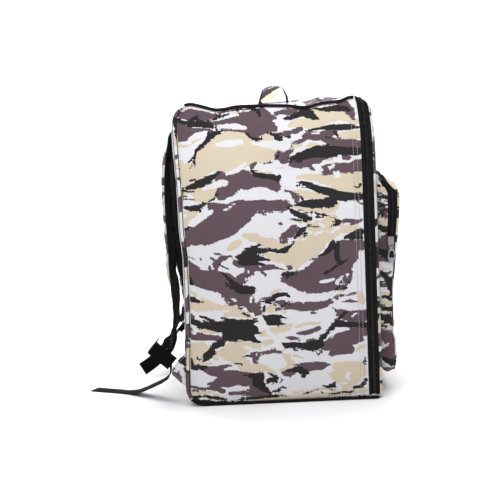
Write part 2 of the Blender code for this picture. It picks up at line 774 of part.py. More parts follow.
def make_anchors():
    """Stiff webbing that stands out from a gusset and turns inward behind the buckle."""
    for name, sign, stand in (("anchor_left", -1, STAND_LEFT), ("anchor_right", 1, STAND_RIGHT)):
        x = sign * (HALF - sum(GUSSET_INSETS) / 2)
        way = Vector((0, ANCHOR_WAY[0], ANCHOR_WAY[1])).normalized()
        lift = (0, -way.z, way.y)
        start = Vector((x, ANCHOR_START[0], ANCHOR_START[1]))
        inward = Vector((-sign, 0, 0))
        rows = [
            (start + way * 0.0006, lift),
            (start + way * (stand * 0.5) - inward * 0.0008, lift),
            (start + way * (stand - 0.0030), lift),
            (start + way * (stand - 0.0008) + inward * 0.0009, lift),
            (start + way * stand + inward * 0.0030, lift),
            (start + way * stand + inward * 0.0180, lift),
            (start + way * (stand - 0.0004) + inward * 0.0440, lift),
        ]
        ribbon(name, rows, BLACK)


def make_main_slider():
    """The slider of the main zip, on the side that the photograph does not show."""
    x = HALF + 0.0012 + GAP
    y = (ZIP_BACK + ZIP_FRONT) / 2
    z = 0.110
    swell = drape((HALF, y, z))[0] - HALF
    made = block("main_zip_slider", (0.0040, 0.0100, 0.0150), (x + swell + 0.0020, y, z), METAL)
    tab = block(
        "main_slider_tab", (0.0016, 0.0080, 0.0400), (x + swell + 0.0034, y, z - 0.0220),
        METAL, "cutters")
    merge(made, tab, "UNION")


def make_pocket_pull():
    body_z = PULL_AXIS_Z + 0.0105
    wall_x = -POCKET_HALF - 0.0012 - GAP
    slider = block(
        "pocket_zip_slider", (0.0036, 0.0100, 0.0140), (wall_x - 0.0018, PULL_MID_Y, body_z), METAL)
    for k, where in enumerate((-1, 1)):
        lug = block(
            f"slider_lug_{k}", (0.0032, 0.0014, 0.0060),
            (PULL_AXIS_X, PULL_MID_Y + where * 0.0032, PULL_AXIS_Z + 0.0020), METAL, "cutters")
        merge(slider, lug, "UNION")
    pin = rod(
        "slider_pin", PIN_RADIUS, 0.0070, (PULL_AXIS_X, PULL_MID_Y, PULL_AXIS_Z), METAL,
        16, "cutters")
    merge(slider, pin, "UNION")

    eye_radius = PIN_RADIUS + PIN_CLEARANCE
    neck = ((-0.0021, 0.0021), (0.0021, 0.0021), (0.0021, -0.0028), (-0.0021, -0.0028))
    pull = bar("pocket_zip_pull", [[(x, y, z) for y, z in neck] for x in (-0.0021, 0.0021)], METAL)
    outline = (
        (-0.0019, -0.0018), (0.0019, -0.0018), (0.0042, -0.0046), (0.0066, -0.0185), (0.0050, -0.0225),
        (0.0015, -0.0262), (-0.0015, -0.0262), (-0.0050, -0.0225), (-0.0066, -0.0185), (-0.0042, -0.0046))
    rings = [[(x, y, z) for y, z in outline] for x in (-0.0010, 0.0010)]
    plate = bar("pull_plate", rings, METAL)
    bpy.data.collections["board_game_backpack"].objects.unlink(plate)
    bpy.data.collections["cutters"].objects.link(plate)
    window = (
        (-0.0028, -0.0068), (0.0028, -0.0068), (0.0047, -0.0180), (-0.0047, -0.0180))
    hole = bar(
        "pull_window", [[(x, y, z) for y, z in window] for x in (-0.003, 0.003)], METAL)
    bpy.data.collections["board_game_backpack"].objects.unlink(hole)
    bpy.data.collections["cutters"].objects.link(hole)
    eye = rod("pull_eye", eye_radius, 0.0100, (0, 0, 0), METAL, 16, "cutters")
    merge(pull, plate, "UNION")
    merge(pull, hole, "DIFFERENCE")
    merge(pull, eye, "DIFFERENCE")
    spot = Vector((PULL_AXIS_X, PULL_MID_Y, PULL_AXIS_Z))
    pull.location = spot
    for tool in (plate, hole, eye):
        tool.location = spot
    inset = tuple((y * 0.90, (z + 0.0124) * 0.93 - 0.0124) for y, z in window)
    insert = bar(
        "pocket_pull_insert", [[(x, y, z) for y, z in inset] for x in (-0.0008, 0.0008)], PLASTIC)
    insert.location = spot


def main():
    for made in list(bpy.data.objects):
        bpy.data.objects.remove(made, do_unlink=True)
    for name in ("board_game_backpack", "cutters"):
        found = bpy.data.collections.new(name)
        bpy.context.scene.collection.children.link(found)
    make_shell()
    make_zip_band()
    make_front_panel()
    make_piping()
    make_pocket()
    make_back_pad()
    make_straps()
    make_handle()
    make_gussets()
    make_buckles()
    make_strap_loops()
    make_adjusters()
    make_anchors()
    make_main_slider()
    make_pocket_pull()


main()
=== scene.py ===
"""Looks of the board game backpack: camouflage cloth panels, black zips, piping and webbing,
padded straps with mesh, a pale floor and soft light. Metres, +Z up, front toward -Y."""

import json
import math

import bmesh
import bpy
import numpy as np
from mathutils import Matrix, Vector

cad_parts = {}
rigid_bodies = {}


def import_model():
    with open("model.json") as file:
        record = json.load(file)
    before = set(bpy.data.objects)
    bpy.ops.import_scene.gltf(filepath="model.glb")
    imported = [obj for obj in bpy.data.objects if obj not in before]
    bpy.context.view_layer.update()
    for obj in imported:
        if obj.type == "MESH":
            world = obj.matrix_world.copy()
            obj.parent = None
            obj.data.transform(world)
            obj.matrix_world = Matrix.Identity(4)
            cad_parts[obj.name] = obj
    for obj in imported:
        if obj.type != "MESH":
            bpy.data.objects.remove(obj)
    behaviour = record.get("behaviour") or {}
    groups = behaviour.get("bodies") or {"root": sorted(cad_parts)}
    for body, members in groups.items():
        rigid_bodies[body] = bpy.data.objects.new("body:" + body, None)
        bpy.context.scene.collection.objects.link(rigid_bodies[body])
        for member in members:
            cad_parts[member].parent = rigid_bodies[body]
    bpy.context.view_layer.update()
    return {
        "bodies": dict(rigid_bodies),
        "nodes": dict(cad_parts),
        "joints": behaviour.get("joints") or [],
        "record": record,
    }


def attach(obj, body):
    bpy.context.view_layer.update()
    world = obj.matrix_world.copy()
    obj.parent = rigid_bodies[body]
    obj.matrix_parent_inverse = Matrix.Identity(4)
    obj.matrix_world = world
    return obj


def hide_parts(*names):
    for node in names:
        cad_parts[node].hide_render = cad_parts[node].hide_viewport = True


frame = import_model()

# Sizes repeated from the CAD source
HALF, TALL = 0.170, 0.500
LOW_CORNER, TOP_CORNER = 0.007, 0.010
ZIP_BACK, ZIP_FRONT, PANEL_FACE = -0.1405, -0.1590, -0.1665
SIDE_BACK, BACK_FACE = 0.1600, 0.1700
GAP = 0.0004
PIPING = 0.0025
# Radii of the other bindings and of a sewn seam
BASE_BINDING, PAD_BINDING, STRAP_BINDING, HANDLE_BINDING = 0.0013, 0.0020, 0.0022, 0.0025
SEAM, ZIP_STITCH = 0.0006, 0.00042
# Height where the zip band ends, and the last depth of the square rings
BAND_END, RING_END = 0.0078, 0.135
POCKET_HALF, POCKET_LOW, POCKET_TOP, POCKET_ZIP_END = 0.135, 0.034, 0.382, 0.250
POCKET_CORNER_LOW, POCKET_CORNER_TOP = 0.018, 0.028
BUCKLE_X, BUCKLE_Y, BUCKLE_Z = 0.135, 0.1870, 0.1060
BUCKLE_BAR, BUCKLE_SLOT, BUCKLE_THICK = 0.0040, 0.0065, 0.0045
WEB_WIDTH, WEB_THICK, STRAP_WIDTH = 0.025, 0.0015, 0.066
STAND_LEFT, STAND_RIGHT = 0.0435, 0.0100

TOP_SAG = ((-0.170, 0.000), (-0.133, 0.000), (-0.117, -0.005), (-0.079, -0.008), (-0.052, -0.013),
           (-0.020, -0.009), (0.021, -0.007), (0.054, -0.007), (0.088, -0.011), (0.120, -0.003),
           (0.135, 0.000), (0.200, 0.000))
TOP_RISE = ((-0.170, 0.004), (-0.140, 0.008), (-0.100, 0.018), (-0.055, 0.020), (0.000, 0.010),
            (0.060, 0.007), (0.110, 0.004), (0.150, 0.000), (0.200, 0.000))
BACK_HOLLOW = ((0.000, 0.000), (0.042, -0.001), (0.100, -0.004), (0.157, -0.006), (0.245, -0.007),
               (0.300, -0.003), (0.342, -0.003), (0.407, -0.001), (0.436, 0.000), (0.500, 0.001))
FRONT_LEAN = ((0.000, 0.000), (0.400, 0.000), (0.440, 0.001), (0.460, 0.0025), (0.475, 0.004),
              (0.490, 0.006), (0.500, 0.008), (0.600, 0.008))
# Rounding of the back: depth, side inset, top drop, bottom rise
BACK_ROWS = ((0.135, 0.0000, 0.000, 0.0000), (0.148, 0.0000, 0.005, 0.0030),
             (0.156, 0.0000, 0.014, 0.0090), (0.160, 0.0005, 0.024, 0.0210),
             (0.1645, 0.0045, 0.032, 0.0300), (0.1675, 0.0120, 0.043, 0.0420),
             (0.1692, 0.0270, 0.062, 0.0600), (0.1700, 0.0600, 0.110, 0.1100))
# Rounding of the front panel: depth, side inset, top drop
FRONT_ROWS = ((-0.1595, 0.0010, 0.0105), (-0.1610, 0.0010, 0.0105), (-0.1632, 0.0035, 0.0140),
              (-0.1648, 0.0080, 0.0200), (-0.1660, 0.0200, 0.0340), (-0.1665, 0.0340, 0.0500))
POCKET_DEPTH = ((0.000, 0.026), (0.040, 0.026), (0.060, 0.027), (0.092, 0.0265), (0.106, 0.0235),
                (0.170, 0.025), (0.216, 0.029), (0.292, 0.037), (0.330, 0.0395), (0.360, 0.0390),
                (0.400, 0.0370))
# Section of the pocket wall: share of the depth, top drop, bottom rise
POCKET_WALL = ((0.00, 0.000, 0.009), (0.06, 0.000, 0.009), (0.25, 0.007, 0.003),
               (0.50, 0.014, 0.000), (0.88, 0.022, 0.002), (0.945, 0.022, 0.002),
               (1.00, 0.030, 0.008))
# Back pad: height, thickness at the middle
PAD_ROWS = ((0.195, 0.0012), (0.204, 0.0040), (0.220, 0.0075), (0.260, 0.0098), (0.310, 0.0100),
            (0.355, 0.0098), (0.385, 0.0075), (0.408, 0.0045), (0.420, 0.0012))
PAD_HALF = 0.112
# Shoulder strap: sideways place, outer depth, height, thickness, share of the width
STRAP_ROWS = ((0.062, 0.1717, 0.4640, 0.0045, 0.90), (0.063, 0.1795, 0.4530, 0.0070, 0.98),
              (0.065, 0.1850, 0.4350, 0.0105, 1.00), (0.068, 0.1900, 0.4130, 0.0135, 1.00),
              (0.071, 0.1932, 0.3900, 0.0150, 1.00), (0.075, 0.1950, 0.3600, 0.0158, 1.00),
              (0.080, 0.1952, 0.3280, 0.0162, 1.00), (0.086, 0.1942, 0.2960, 0.0162, 1.00),
              (0.093, 0.1925, 0.2580, 0.0160, 1.00), (0.101, 0.1908, 0.2200, 0.0150, 1.00),
              (0.109, 0.1868, 0.1880, 0.0128, 0.98), (0.117, 0.1845, 0.1600, 0.0108, 0.90),
              (0.126, 0.1834, 0.1420, 0.0090, 0.72), (0.131, 0.1834, 0.1345, 0.0066, 0.56),
              (0.134, 0.1838, 0.1275, 0.0040, 0.46), (0.135, 0.1851, 0.1215, 0.0036, 0.42))
# Top handle: sideways place, height above the top, width, thickness
HANDLE_ROWS = ((-0.098, 0.0022, 0.046, 0.0036), (-0.082, 0.0025, 0.047, 0.0040),
               (-0.070, 0.0075, 0.046, 0.0055), (-0.056, 0.0160, 0.040, 0.0085),
               (-0.036, 0.0235, 0.035, 0.0120), (0.000, 0.0265, 0.033, 0.0130),
               (0.036, 0.0235, 0.035, 0.0120), (0.056, 0.0160, 0.040, 0.0085),
               (0.070, 0.0075, 0.046, 0.0055), (0.082, 0.0025, 0.047, 0.0040),
               (0.098, 0.0022, 0.046, 0.0036))
GUSSET_OUTLINE = ((0.1650, 0.0925), (0.1745, 0.0830), (0.1880, 0.0610), (0.1880, 0.0550),
                  (0.1830, 0.0500), (0.1720, 0.0390), (0.1650, 0.0330))
GUSSET_INSETS = (0.0045, 0.0005)
ANCHOR_START, ANCHOR_WAY = (0.1848, 0.0728), (0.745, 0.667)
# Loose tails: distance inward of the buckle, depth, height, and the way of the width
LEFT_TAIL = ((0.0010, 0.1920, 0.0790), (0.0040, 0.1915, 0.0660), (0.0080, 0.1920, 0.0540),
             (0.0130, 0.1955, 0.0440), (0.0210, 0.2040, 0.0350), (0.0310, 0.2170, 0.0265),
             (0.0420, 0.2320, 0.0180), (0.0540, 0.2470, 0.0100), (0.0660, 0.2610, 0.0040),
             (0.0770, 0.2760, 0.0012), (0.0880, 0.2970, 0.0010), (0.0980, 0.3190, 0.0010),
             (0.1100, 0.3420, 0.0010))
RIGHT_TAIL = ((0.0010, 0.2000, 0.0860, 1.00, 0.00, 0.00), (0.0050, 0.2045, 0.0765, 0.98, 0.12, 0.15),
              (0.0130, 0.2085, 0.0675, 0.90, 0.25, 0.34), (0.0250, 0.2125, 0.0590, 0.72, 0.40, 0.56),
              (0.0390, 0.2160, 0.0505, 0.50, 0.50, 0.70), (0.0530, 0.2240, 0.0430, 0.28, 0.56, 0.78),
              (0.0670, 0.2350, 0.0345, 0.10, 0.58, 0.80), (0.0780, 0.2480, 0.0260, 0.00, 0.59, 0.81),
              (0.0850, 0.2625, 0.0180, 0.00, 0.59, 0.81))
# Brush marks of the print on the near side panel: place toward the front,
# height and half width of each mark's points, in millimetres
BEIGE_MARKS = (
    ((-48, 3, 4.0), (-10, 6, 4.4), (30, 8, 5.0), (70, 10, 5.0), (105, 13, 4.4), (136, 15, 3.4)),
    ((-144, 498, 2.5), (-126, 496, 4.1), (-107, 492, 3), (-83, 489, 1.3)),
    ((-153, 394, 9.8), (-132, 390, 14.8), (-106, 408, 19.7), (-74, 411, 23), (-41, 416, 18),
     (-15, 414, 14.8), (0, 416, 6.6)),
    ((-114, 421, 13.1), (-80, 442, 11.5), (-56, 443, 9.8), (-20, 441, 7.4), (-7, 439, 6.6)),
    ((-155, 405, 4.9), (-153, 378, 6.6), (-151, 353, 4.9)),
    ((-140, 377, 13.1), (-125, 352, 13.1), (-105, 359, 9.8), (-114, 343, 8.2)),
    ((-148, 320, 8.2), (-154, 302, 4.9)), ((-138, 321, 6.6), (-132, 323, 3.3)),
    ((-154, 433, 3), (-144, 434, 4.1), (-133, 438, 2.5), (-121, 443, 1.6)),
    ((-67, 482, 1.6), (-57, 483, 2.5), (-44, 484, 2)), ((-38, 482, 2.5), (-35, 484, 1.3)),
    ((29, 459, 4.9), (42, 463, 6.6), (62, 459, 9.8), (83, 468, 11.5), (108, 471, 8.2), (135, 459, 4.9)),
    ((42, 453, 2.5), (47, 455, 1.6)), ((58, 483, 3.3), (66, 476, 6.6), (78, 471, 6.6)),
    ((111, 439, 6.6), (126, 438, 7.4), (142, 438, 7.4)),
    ((29, 423, 3.3), (49, 426, 3.3), (70, 425, 3.3), (86, 422, 2.5)), ((84, 398, 2.5), (94, 401, 2.5)),
    ((-1, 390, 1.3), (13, 390, 1.3)), ((-34, 385, 2), (-18, 383, 2), (-6, 384, 1.6)),
    ((36, 374, 3.3), (63, 373, 6.6), (88, 367, 9.8), (112, 364, 14.8), (140, 362, 16.4)),
    ((95, 355, 4.9), (120, 349, 4.9), (139, 347, 4.1)),
    ((31, 350, 3.3), (46, 346, 6.6), (67, 340, 6.6), (83, 336, 3.3)),
    ((24, 327, 2.5), (37, 322, 3.3), (61, 319, 4.1), (86, 317, 4.9), (98, 323, 4.9)),
    ((52, 293, 6.6), (77, 289, 14.8), (88, 298, 13.1), (109, 286, 8.2), (126, 290, 6.6)),
    ((43, 271, 11.5), (59, 265, 14.8), (34, 256, 11.5), (71, 273, 9.8), (94, 278, 6.6)),
    ((36, 301, 2), (53, 302, 2.5)),
    ((-55, 282, 4.9), (-39, 278, 8.2), (-27, 272, 6.6), (-11, 268, 8.2), (2, 259, 6.6)),
    ((-84, 260, 3.3), (-74, 266, 6.6), (-64, 272, 4.9)),
    ((-28, 254, 3.3), (-15, 247, 5.7), (1, 241, 8.2), (17, 242, 11.5), (31, 242, 13.1), (47, 254, 16.4),
     (63, 265, 14.8)), ((-28, 264, 4.1), (-11, 263, 4.9), (5, 263, 3.3), (13, 267, 3.3)),
    ((18, 255, 8.2), (35, 263, 9.8)), ((6, 234, 3.3), (20, 229, 4.9), (32, 225, 2.5)),
    ((-151, 200, 2.5), (-148, 193, 2.5), (-140, 186, 3.3)),
    ((-151, 170, 6.6), (-134, 166, 8.2), (-115, 167, 8.2), (-98, 159, 9.8), (-77, 158, 9.8),
     (-61, 151, 6.6), (-49, 147, 3.3)), ((-129, 179, 4.9), (-114, 173, 4.9)),
    ((-68, 168, 3.3), (-75, 173, 2.5)), ((-93, 167, 4.9), (-81, 167, 4.9)),
    ((-156, 187, 2.5), (-156, 172, 3.3), (-155, 148, 2.5)),
    ((-16, 184, 3.3), (-9, 190, 4.1), (0, 190, 2)), ((-26, 186, 1.6), (-26, 186, 1.6)),
    ((-26, 158, 3.3), (-15, 162, 4.9), (-7, 162, 2.5)), ((-32, 155, 2.5), (-3, 155, 2), (6, 153, 1.3)),
    ((-139, 132, 1.1), (-131, 127, 3.3), (-116, 125, 4.9), (-103, 126, 3.3), (-97, 126, 1.6)),
    ((-147, 101, 6.6), (-134, 99, 9), (-128, 98, 5.7)), ((-138, 90, 8.2), (-148, 92, 6.6)),
    ((-152, 86, 6.6), (-145, 77, 4.9), (-134, 72, 3.3), (-122, 71, 1.6)),
    ((-117, 76, 4.9), (-102, 85, 9.8), (-85, 93, 13.1), (-68, 97, 13.1), (-55, 98, 7.4),
     (-41, 98, 5.7)), ((-89, 76, 6.6), (-72, 79, 8.2), (-62, 72, 6.6), (-73, 64, 4.9)),
    ((-34, 118, 4.9), (-21, 120, 6.6), (-10, 123, 6.6), (1, 126, 6.6), (13, 129, 4.9)),
    ((-30, 102, 4.9), (-19, 105, 4.9)),
    ((-65, 58, 6.6), (-53, 60, 8.2), (-36, 61, 6.6), (-23, 55, 4.1), (-12, 49, 1.6)),
    ((1, 86, 4.9), (8, 75, 6.6), (14, 65, 4.9), (2, 57, 4.9), (-5, 56, 3.3)),
    ((18, 80, 3.3), (32, 74, 2)), ((21, 127, 2.5), (35, 131, 3.3), (50, 132, 2.5), (63, 132, 1.6)),
    ((131, 179, 4.1), (133, 167, 6.6), (132, 157, 3.3)),
    ((96, 181, 1.6), (103, 184, 2.1), (108, 185, 1.3)),
    ((87, 58, 6.6), (102, 54, 11.5), (120, 52, 13.1), (131, 46, 8.2)),
    ((85, 43, 8.2), (101, 31, 9.8), (119, 35, 9.8)), ((100, 21, 4.9), (112, 23, 4.9)),
    ((123, 84, 3.3), (131, 89, 3.3), (138, 90, 2.5)), ((117, 13, 2.5), (135, 14, 3.3)),
    ((30, 15, 2), (50, 20, 2.5), (67, 21, 2.5), (79, 18, 2.5)), ((71, 42, 2), (75, 45, 1.3)),
    ((-156, 23, 4.1), (-145, 20, 4.1), (-133, 21, 3.3), (-120, 23, 2.5)),
    ((-117, 18, 3.3), (-105, 14, 2.5)), ((-17, 16, 1.6), (-5, 15, 1.3)), ((14, 16, 2), (29, 19, 2)),
    ((-161, 66, 2.5), (-160, 52, 2.5), (-161, 37, 2)),
)
BROWN_MARKS = (
    ((105, 492, 3.3), (116, 487, 8.2), (127, 474, 6.6), (130, 464, 2.5)),
    ((-156, 484, 3.3), (-135, 482, 9.8), (-111, 479, 8.2), (-98, 475, 6.6)),
    ((-162, 469, 6.6), (-150, 454, 14.8), (-137, 453, 9.8), (-120, 455, 5.7), (-102, 456, 2.5)),
    ((-162, 443, 6.6), (-161, 427, 4.1), (-163, 414, 3.3)),
    ((-95, 480, 3.3), (-78, 485, 2.5), (-62, 488, 2.1), (-46, 491, 2.5), (-31, 493, 3.3)),
    ((-100, 466, 2.5), (-84, 468, 4.9), (-68, 472, 6.6), (-51, 473, 9.8), (-35, 466, 18),
     (-19, 464, 18), (-7, 459, 9.8), (1, 453, 4.9)),
    ((-43, 449, 4.9), (-31, 447, 7.4), (-20, 453, 8.2)), ((-45, 476, 8.2), (-19, 480, 8.2)),
    ((-14, 480, 6.6), (-6, 473, 5.7), (2, 471, 2.5)),
    ((-85, 456, 1.6), (-68, 455, 2.5), (-51, 452, 2), (-39, 452, 3.3)),
    ((-18, 486, 4.1), (-10, 481, 2.5)), ((1, 478, 1.6), (15, 480, 4.1), (27, 480, 6.6), (38, 481, 5.7)),
    ((1, 481, 1), (12, 483, 1.1), (21, 486, 1)),
    ((6, 445, 3.3), (21, 445, 4.6), (35, 449, 4.9), (42, 452, 4.1)),
    ((25, 423, 2), (28, 430, 2.5), (41, 434, 5.7), (54, 440, 6.6), (74, 439, 7.4), (90, 443, 6.6),
     (97, 446, 6.6)), ((82, 429, 6.6), (106, 426, 6.6), (130, 425, 6.6), (145, 423, 4.9)),
    ((6, 411, 7.4), (14, 406, 9.8), (23, 415, 5.7), (31, 418, 1.6)),
    ((27, 397, 6.6), (40, 395, 6.6), (56, 399, 9.8), (69, 400, 8.2)), ((69, 404, 6.6), (82, 403, 3.3)),
    ((59, 388, 4.1), (62, 383, 1.6)),
    ((77, 390, 3.3), (85, 387, 8.2), (105, 387, 9.8), (124, 388, 9.8), (141, 389, 9.8)),
    ((113, 403, 4.9), (123, 401, 3.3)), ((80, 380, 4.9), (93, 378, 3.3)),
    ((111, 381, 1.6), (114, 377, 1.3)), ((124, 380, 2.5), (125, 377, 1.6)),
    ((-38, 395, 4.1), (-32, 400, 2.5)),
    ((-91, 378, 9.8), (-72, 369, 14.8), (-56, 372, 14.8), (-35, 369, 13.1), (-14, 362, 8.2),
     (1, 361, 6.6)), ((-45, 384, 3.3), (-55, 385, 4.9)), ((-13, 370, 8.2), (3, 368, 3.3)),
    ((14, 351, 2.5), (22, 349, 4.9), (31, 339, 6.6)), ((-1, 353, 4.1), (-14, 355, 3.3)),
    ((-89, 352, 11.5), (-73, 358, 9.8)), ((-116, 366, 1.3), (-103, 371, 2.5)),
    ((-137, 284, 14.8), (-112, 297, 18), (-86, 309, 21.3), (-61, 321, 21.3), (-36, 330, 9.8),
     (-12, 329, 9.8), (9, 328, 9.8), (19, 329, 4.9)),
    ((-150, 274, 6.6), (-145, 286, 8.2), (-151, 292, 4.9)),
    ((-121, 278, 9.8), (-104, 285, 11.5), (-79, 294, 11.5), (-62, 305, 9.8)),
    ((-107, 331, 8.2), (-94, 329, 9.8)), ((-116, 337, 2.5), (-121, 339, 1.6)),
    ((-2, 337, 3.3), (18, 336, 4.1)), ((9, 279, 6.6), (19, 283, 8.2), (27, 290, 6.6)),
    ((4, 268, 2.5), (12, 272, 4.9)), ((3, 300, 2.5), (5, 299, 2.5)), ((5, 291, 0.8), (3, 284, 0.8)),
    ((4, 282, 0.8), (2, 276, 0.8)), ((110, 299, 4.9), (121, 297, 5.7), (138, 300, 2.5)),
    ((105, 260, 8.2), (125, 257, 11.5), (136, 258, 8.2)), ((131, 331, 1.6), (139, 326, 2.5)),
    ((-34, 320, 1), (-19, 315, 0.8)),
    ((-150, 243, 5.7), (-143, 229, 11.5), (-132, 214, 14.8), (-112, 210, 18), (-91, 205, 18),
     (-74, 193, 14.8), (-58, 181, 11.5), (-42, 170, 8.2)),
    ((-110, 231, 8.2), (-101, 239, 4.9), (-94, 247, 4.9), (-81, 248, 3.3)),
    ((-150, 251, 1.1), (-139, 246, 1.1)), ((-105, 254, 1.5), (-97, 254, 1.5)),
    ((-112, 248, 1.5), (-108, 244, 1.6)), ((-130, 247, 1.3), (-129, 245, 1.3)),
    ((-75, 240, 4.9), (-64, 232, 4.1), (-49, 229, 5.7), (-29, 228, 4.9), (-11, 229, 4.1), (0, 225, 1.6),
     (17, 226, 4.1)), ((-61, 221, 8.2), (-66, 208, 8.2), (-50, 215, 4.9), (-46, 220, 4.9)),
    ((-30, 221, 2.5), (-23, 216, 1.6), (-25, 204, 1.3)),
    ((-58, 176, 8.2), (-45, 165, 11.5), (-39, 155, 6.6), (-44, 148, 2.5)),
    ((-92, 181, 6.6), (-81, 172, 4.9)), ((-68, 171, 6.6), (-51, 182, 3.3)),
    ((-155, 155, 4.1), (-147, 151, 3.3)),
    ((5, 208, 4.9), (19, 206, 11.5), (37, 205, 19.7), (62, 210, 24.6), (91, 231, 24.6), (116, 246, 18),
     (130, 255, 9.8)), ((65, 189, 8.2), (45, 190, 8.2), (81, 193, 9.8)),
    ((110, 202, 8.2), (115, 220, 6.6)), ((90, 189, 4.9), (106, 190, 4.9)),
    ((3, 165, 6.6), (14, 163, 6.6), (27, 162, 7.4), (42, 161, 8.2), (57, 161, 7.4), (72, 163, 5.7),
     (84, 168, 4.9), (92, 172, 3.3)), ((49, 149, 2.5), (57, 149, 1.6)),
    ((87, 156, 3.3), (105, 150, 3.3)),
    ((93, 149, 6.6), (106, 143, 8.2), (123, 141, 9.8), (138, 142, 9.8)),
    ((100, 164, 1.6), (114, 166, 3.3), (125, 164, 2.5)),
    ((91, 177, 1.6), (106, 177, 2.5), (122, 179, 2.5)), ((-28, 176, 3.3), (-18, 177, 3.3)),
    ((-7, 170, 3), (3, 170, 3.3)), ((-6, 158, 1.6), (4, 163, 1.6)), ((-9, 157, 1.6), (-1, 161, 1.6)),
    ((-150, 119, 6.6), (-137, 117, 5.7), (-120, 115, 4.9), (-107, 113, 4.9), (-96, 109, 3.3)),
    ((-153, 133, 1.6), (-148, 126, 3.3)), ((-130, 144, 1.6), (-119, 135, 2.5), (-113, 133, 1.6)),
    ((-134, 65, 4.9), (-120, 59, 8.2), (-106, 57, 9.8), (-90, 51, 11.5), (-74, 45, 11.5),
     (-61, 40, 14.8), (-46, 24, 14.8), (-30, 16, 8.2)),
    ((-124, 36, 4.9), (-104, 40, 9.8), (-82, 37, 6.6)),
    ((-157, 34, 1.6), (-146, 31, 2.1), (-133, 29, 2.5), (-119, 29, 4.1), (-103, 24, 4.9)),
    ((-91, 19, 3.3), (-70, 20, 4.1), (-58, 16, 4.9)), ((-103, 67, 3.3), (-86, 66, 1.6)),
    ((-153, 27, 1.6), (-145, 25, 1.6)), ((-52, 83, 4.9), (-44, 83, 5.7), (-47, 76, 5.7)),
    ((-48, 71, 2.5), (-44, 69, 1.6)), ((-37, 83, 2), (-29, 87, 3.3), (-17, 88, 3.6), (-5, 86, 3)),
    ((-13, 92, 1.1), (-13, 90, 1.1)), ((4, 111, 1.1), (15, 109, 3.3), (29, 107, 2.5)),
    ((24, 117, 1.6), (36, 116, 4.6), (49, 119, 4.1), (61, 124, 3.3)), ((42, 104, 3.3), (55, 105, 2.5)),
    ((70, 93, 8.2), (86, 99, 13.1), (108, 106, 16.4), (125, 111, 14.8), (138, 115, 8.2)),
    ((81, 81, 4.9), (94, 85, 7.4), (111, 86, 8.2)), ((58, 80, 3.3), (64, 83, 2.5)),
    ((112, 131, 4.9), (132, 132, 4.9)), ((-3, 51, 1.3), (3, 49, 4.9), (10, 47, 4.4), (17, 50, 3.3)),
    ((30, 61, 4.9), (43, 59, 8.2), (60, 60, 7.4), (70, 61, 4.1), (77, 61, 1.6)),
    ((-7, 44, 1.3), (-4, 39, 1.6), (-7, 34, 1.3)),
)
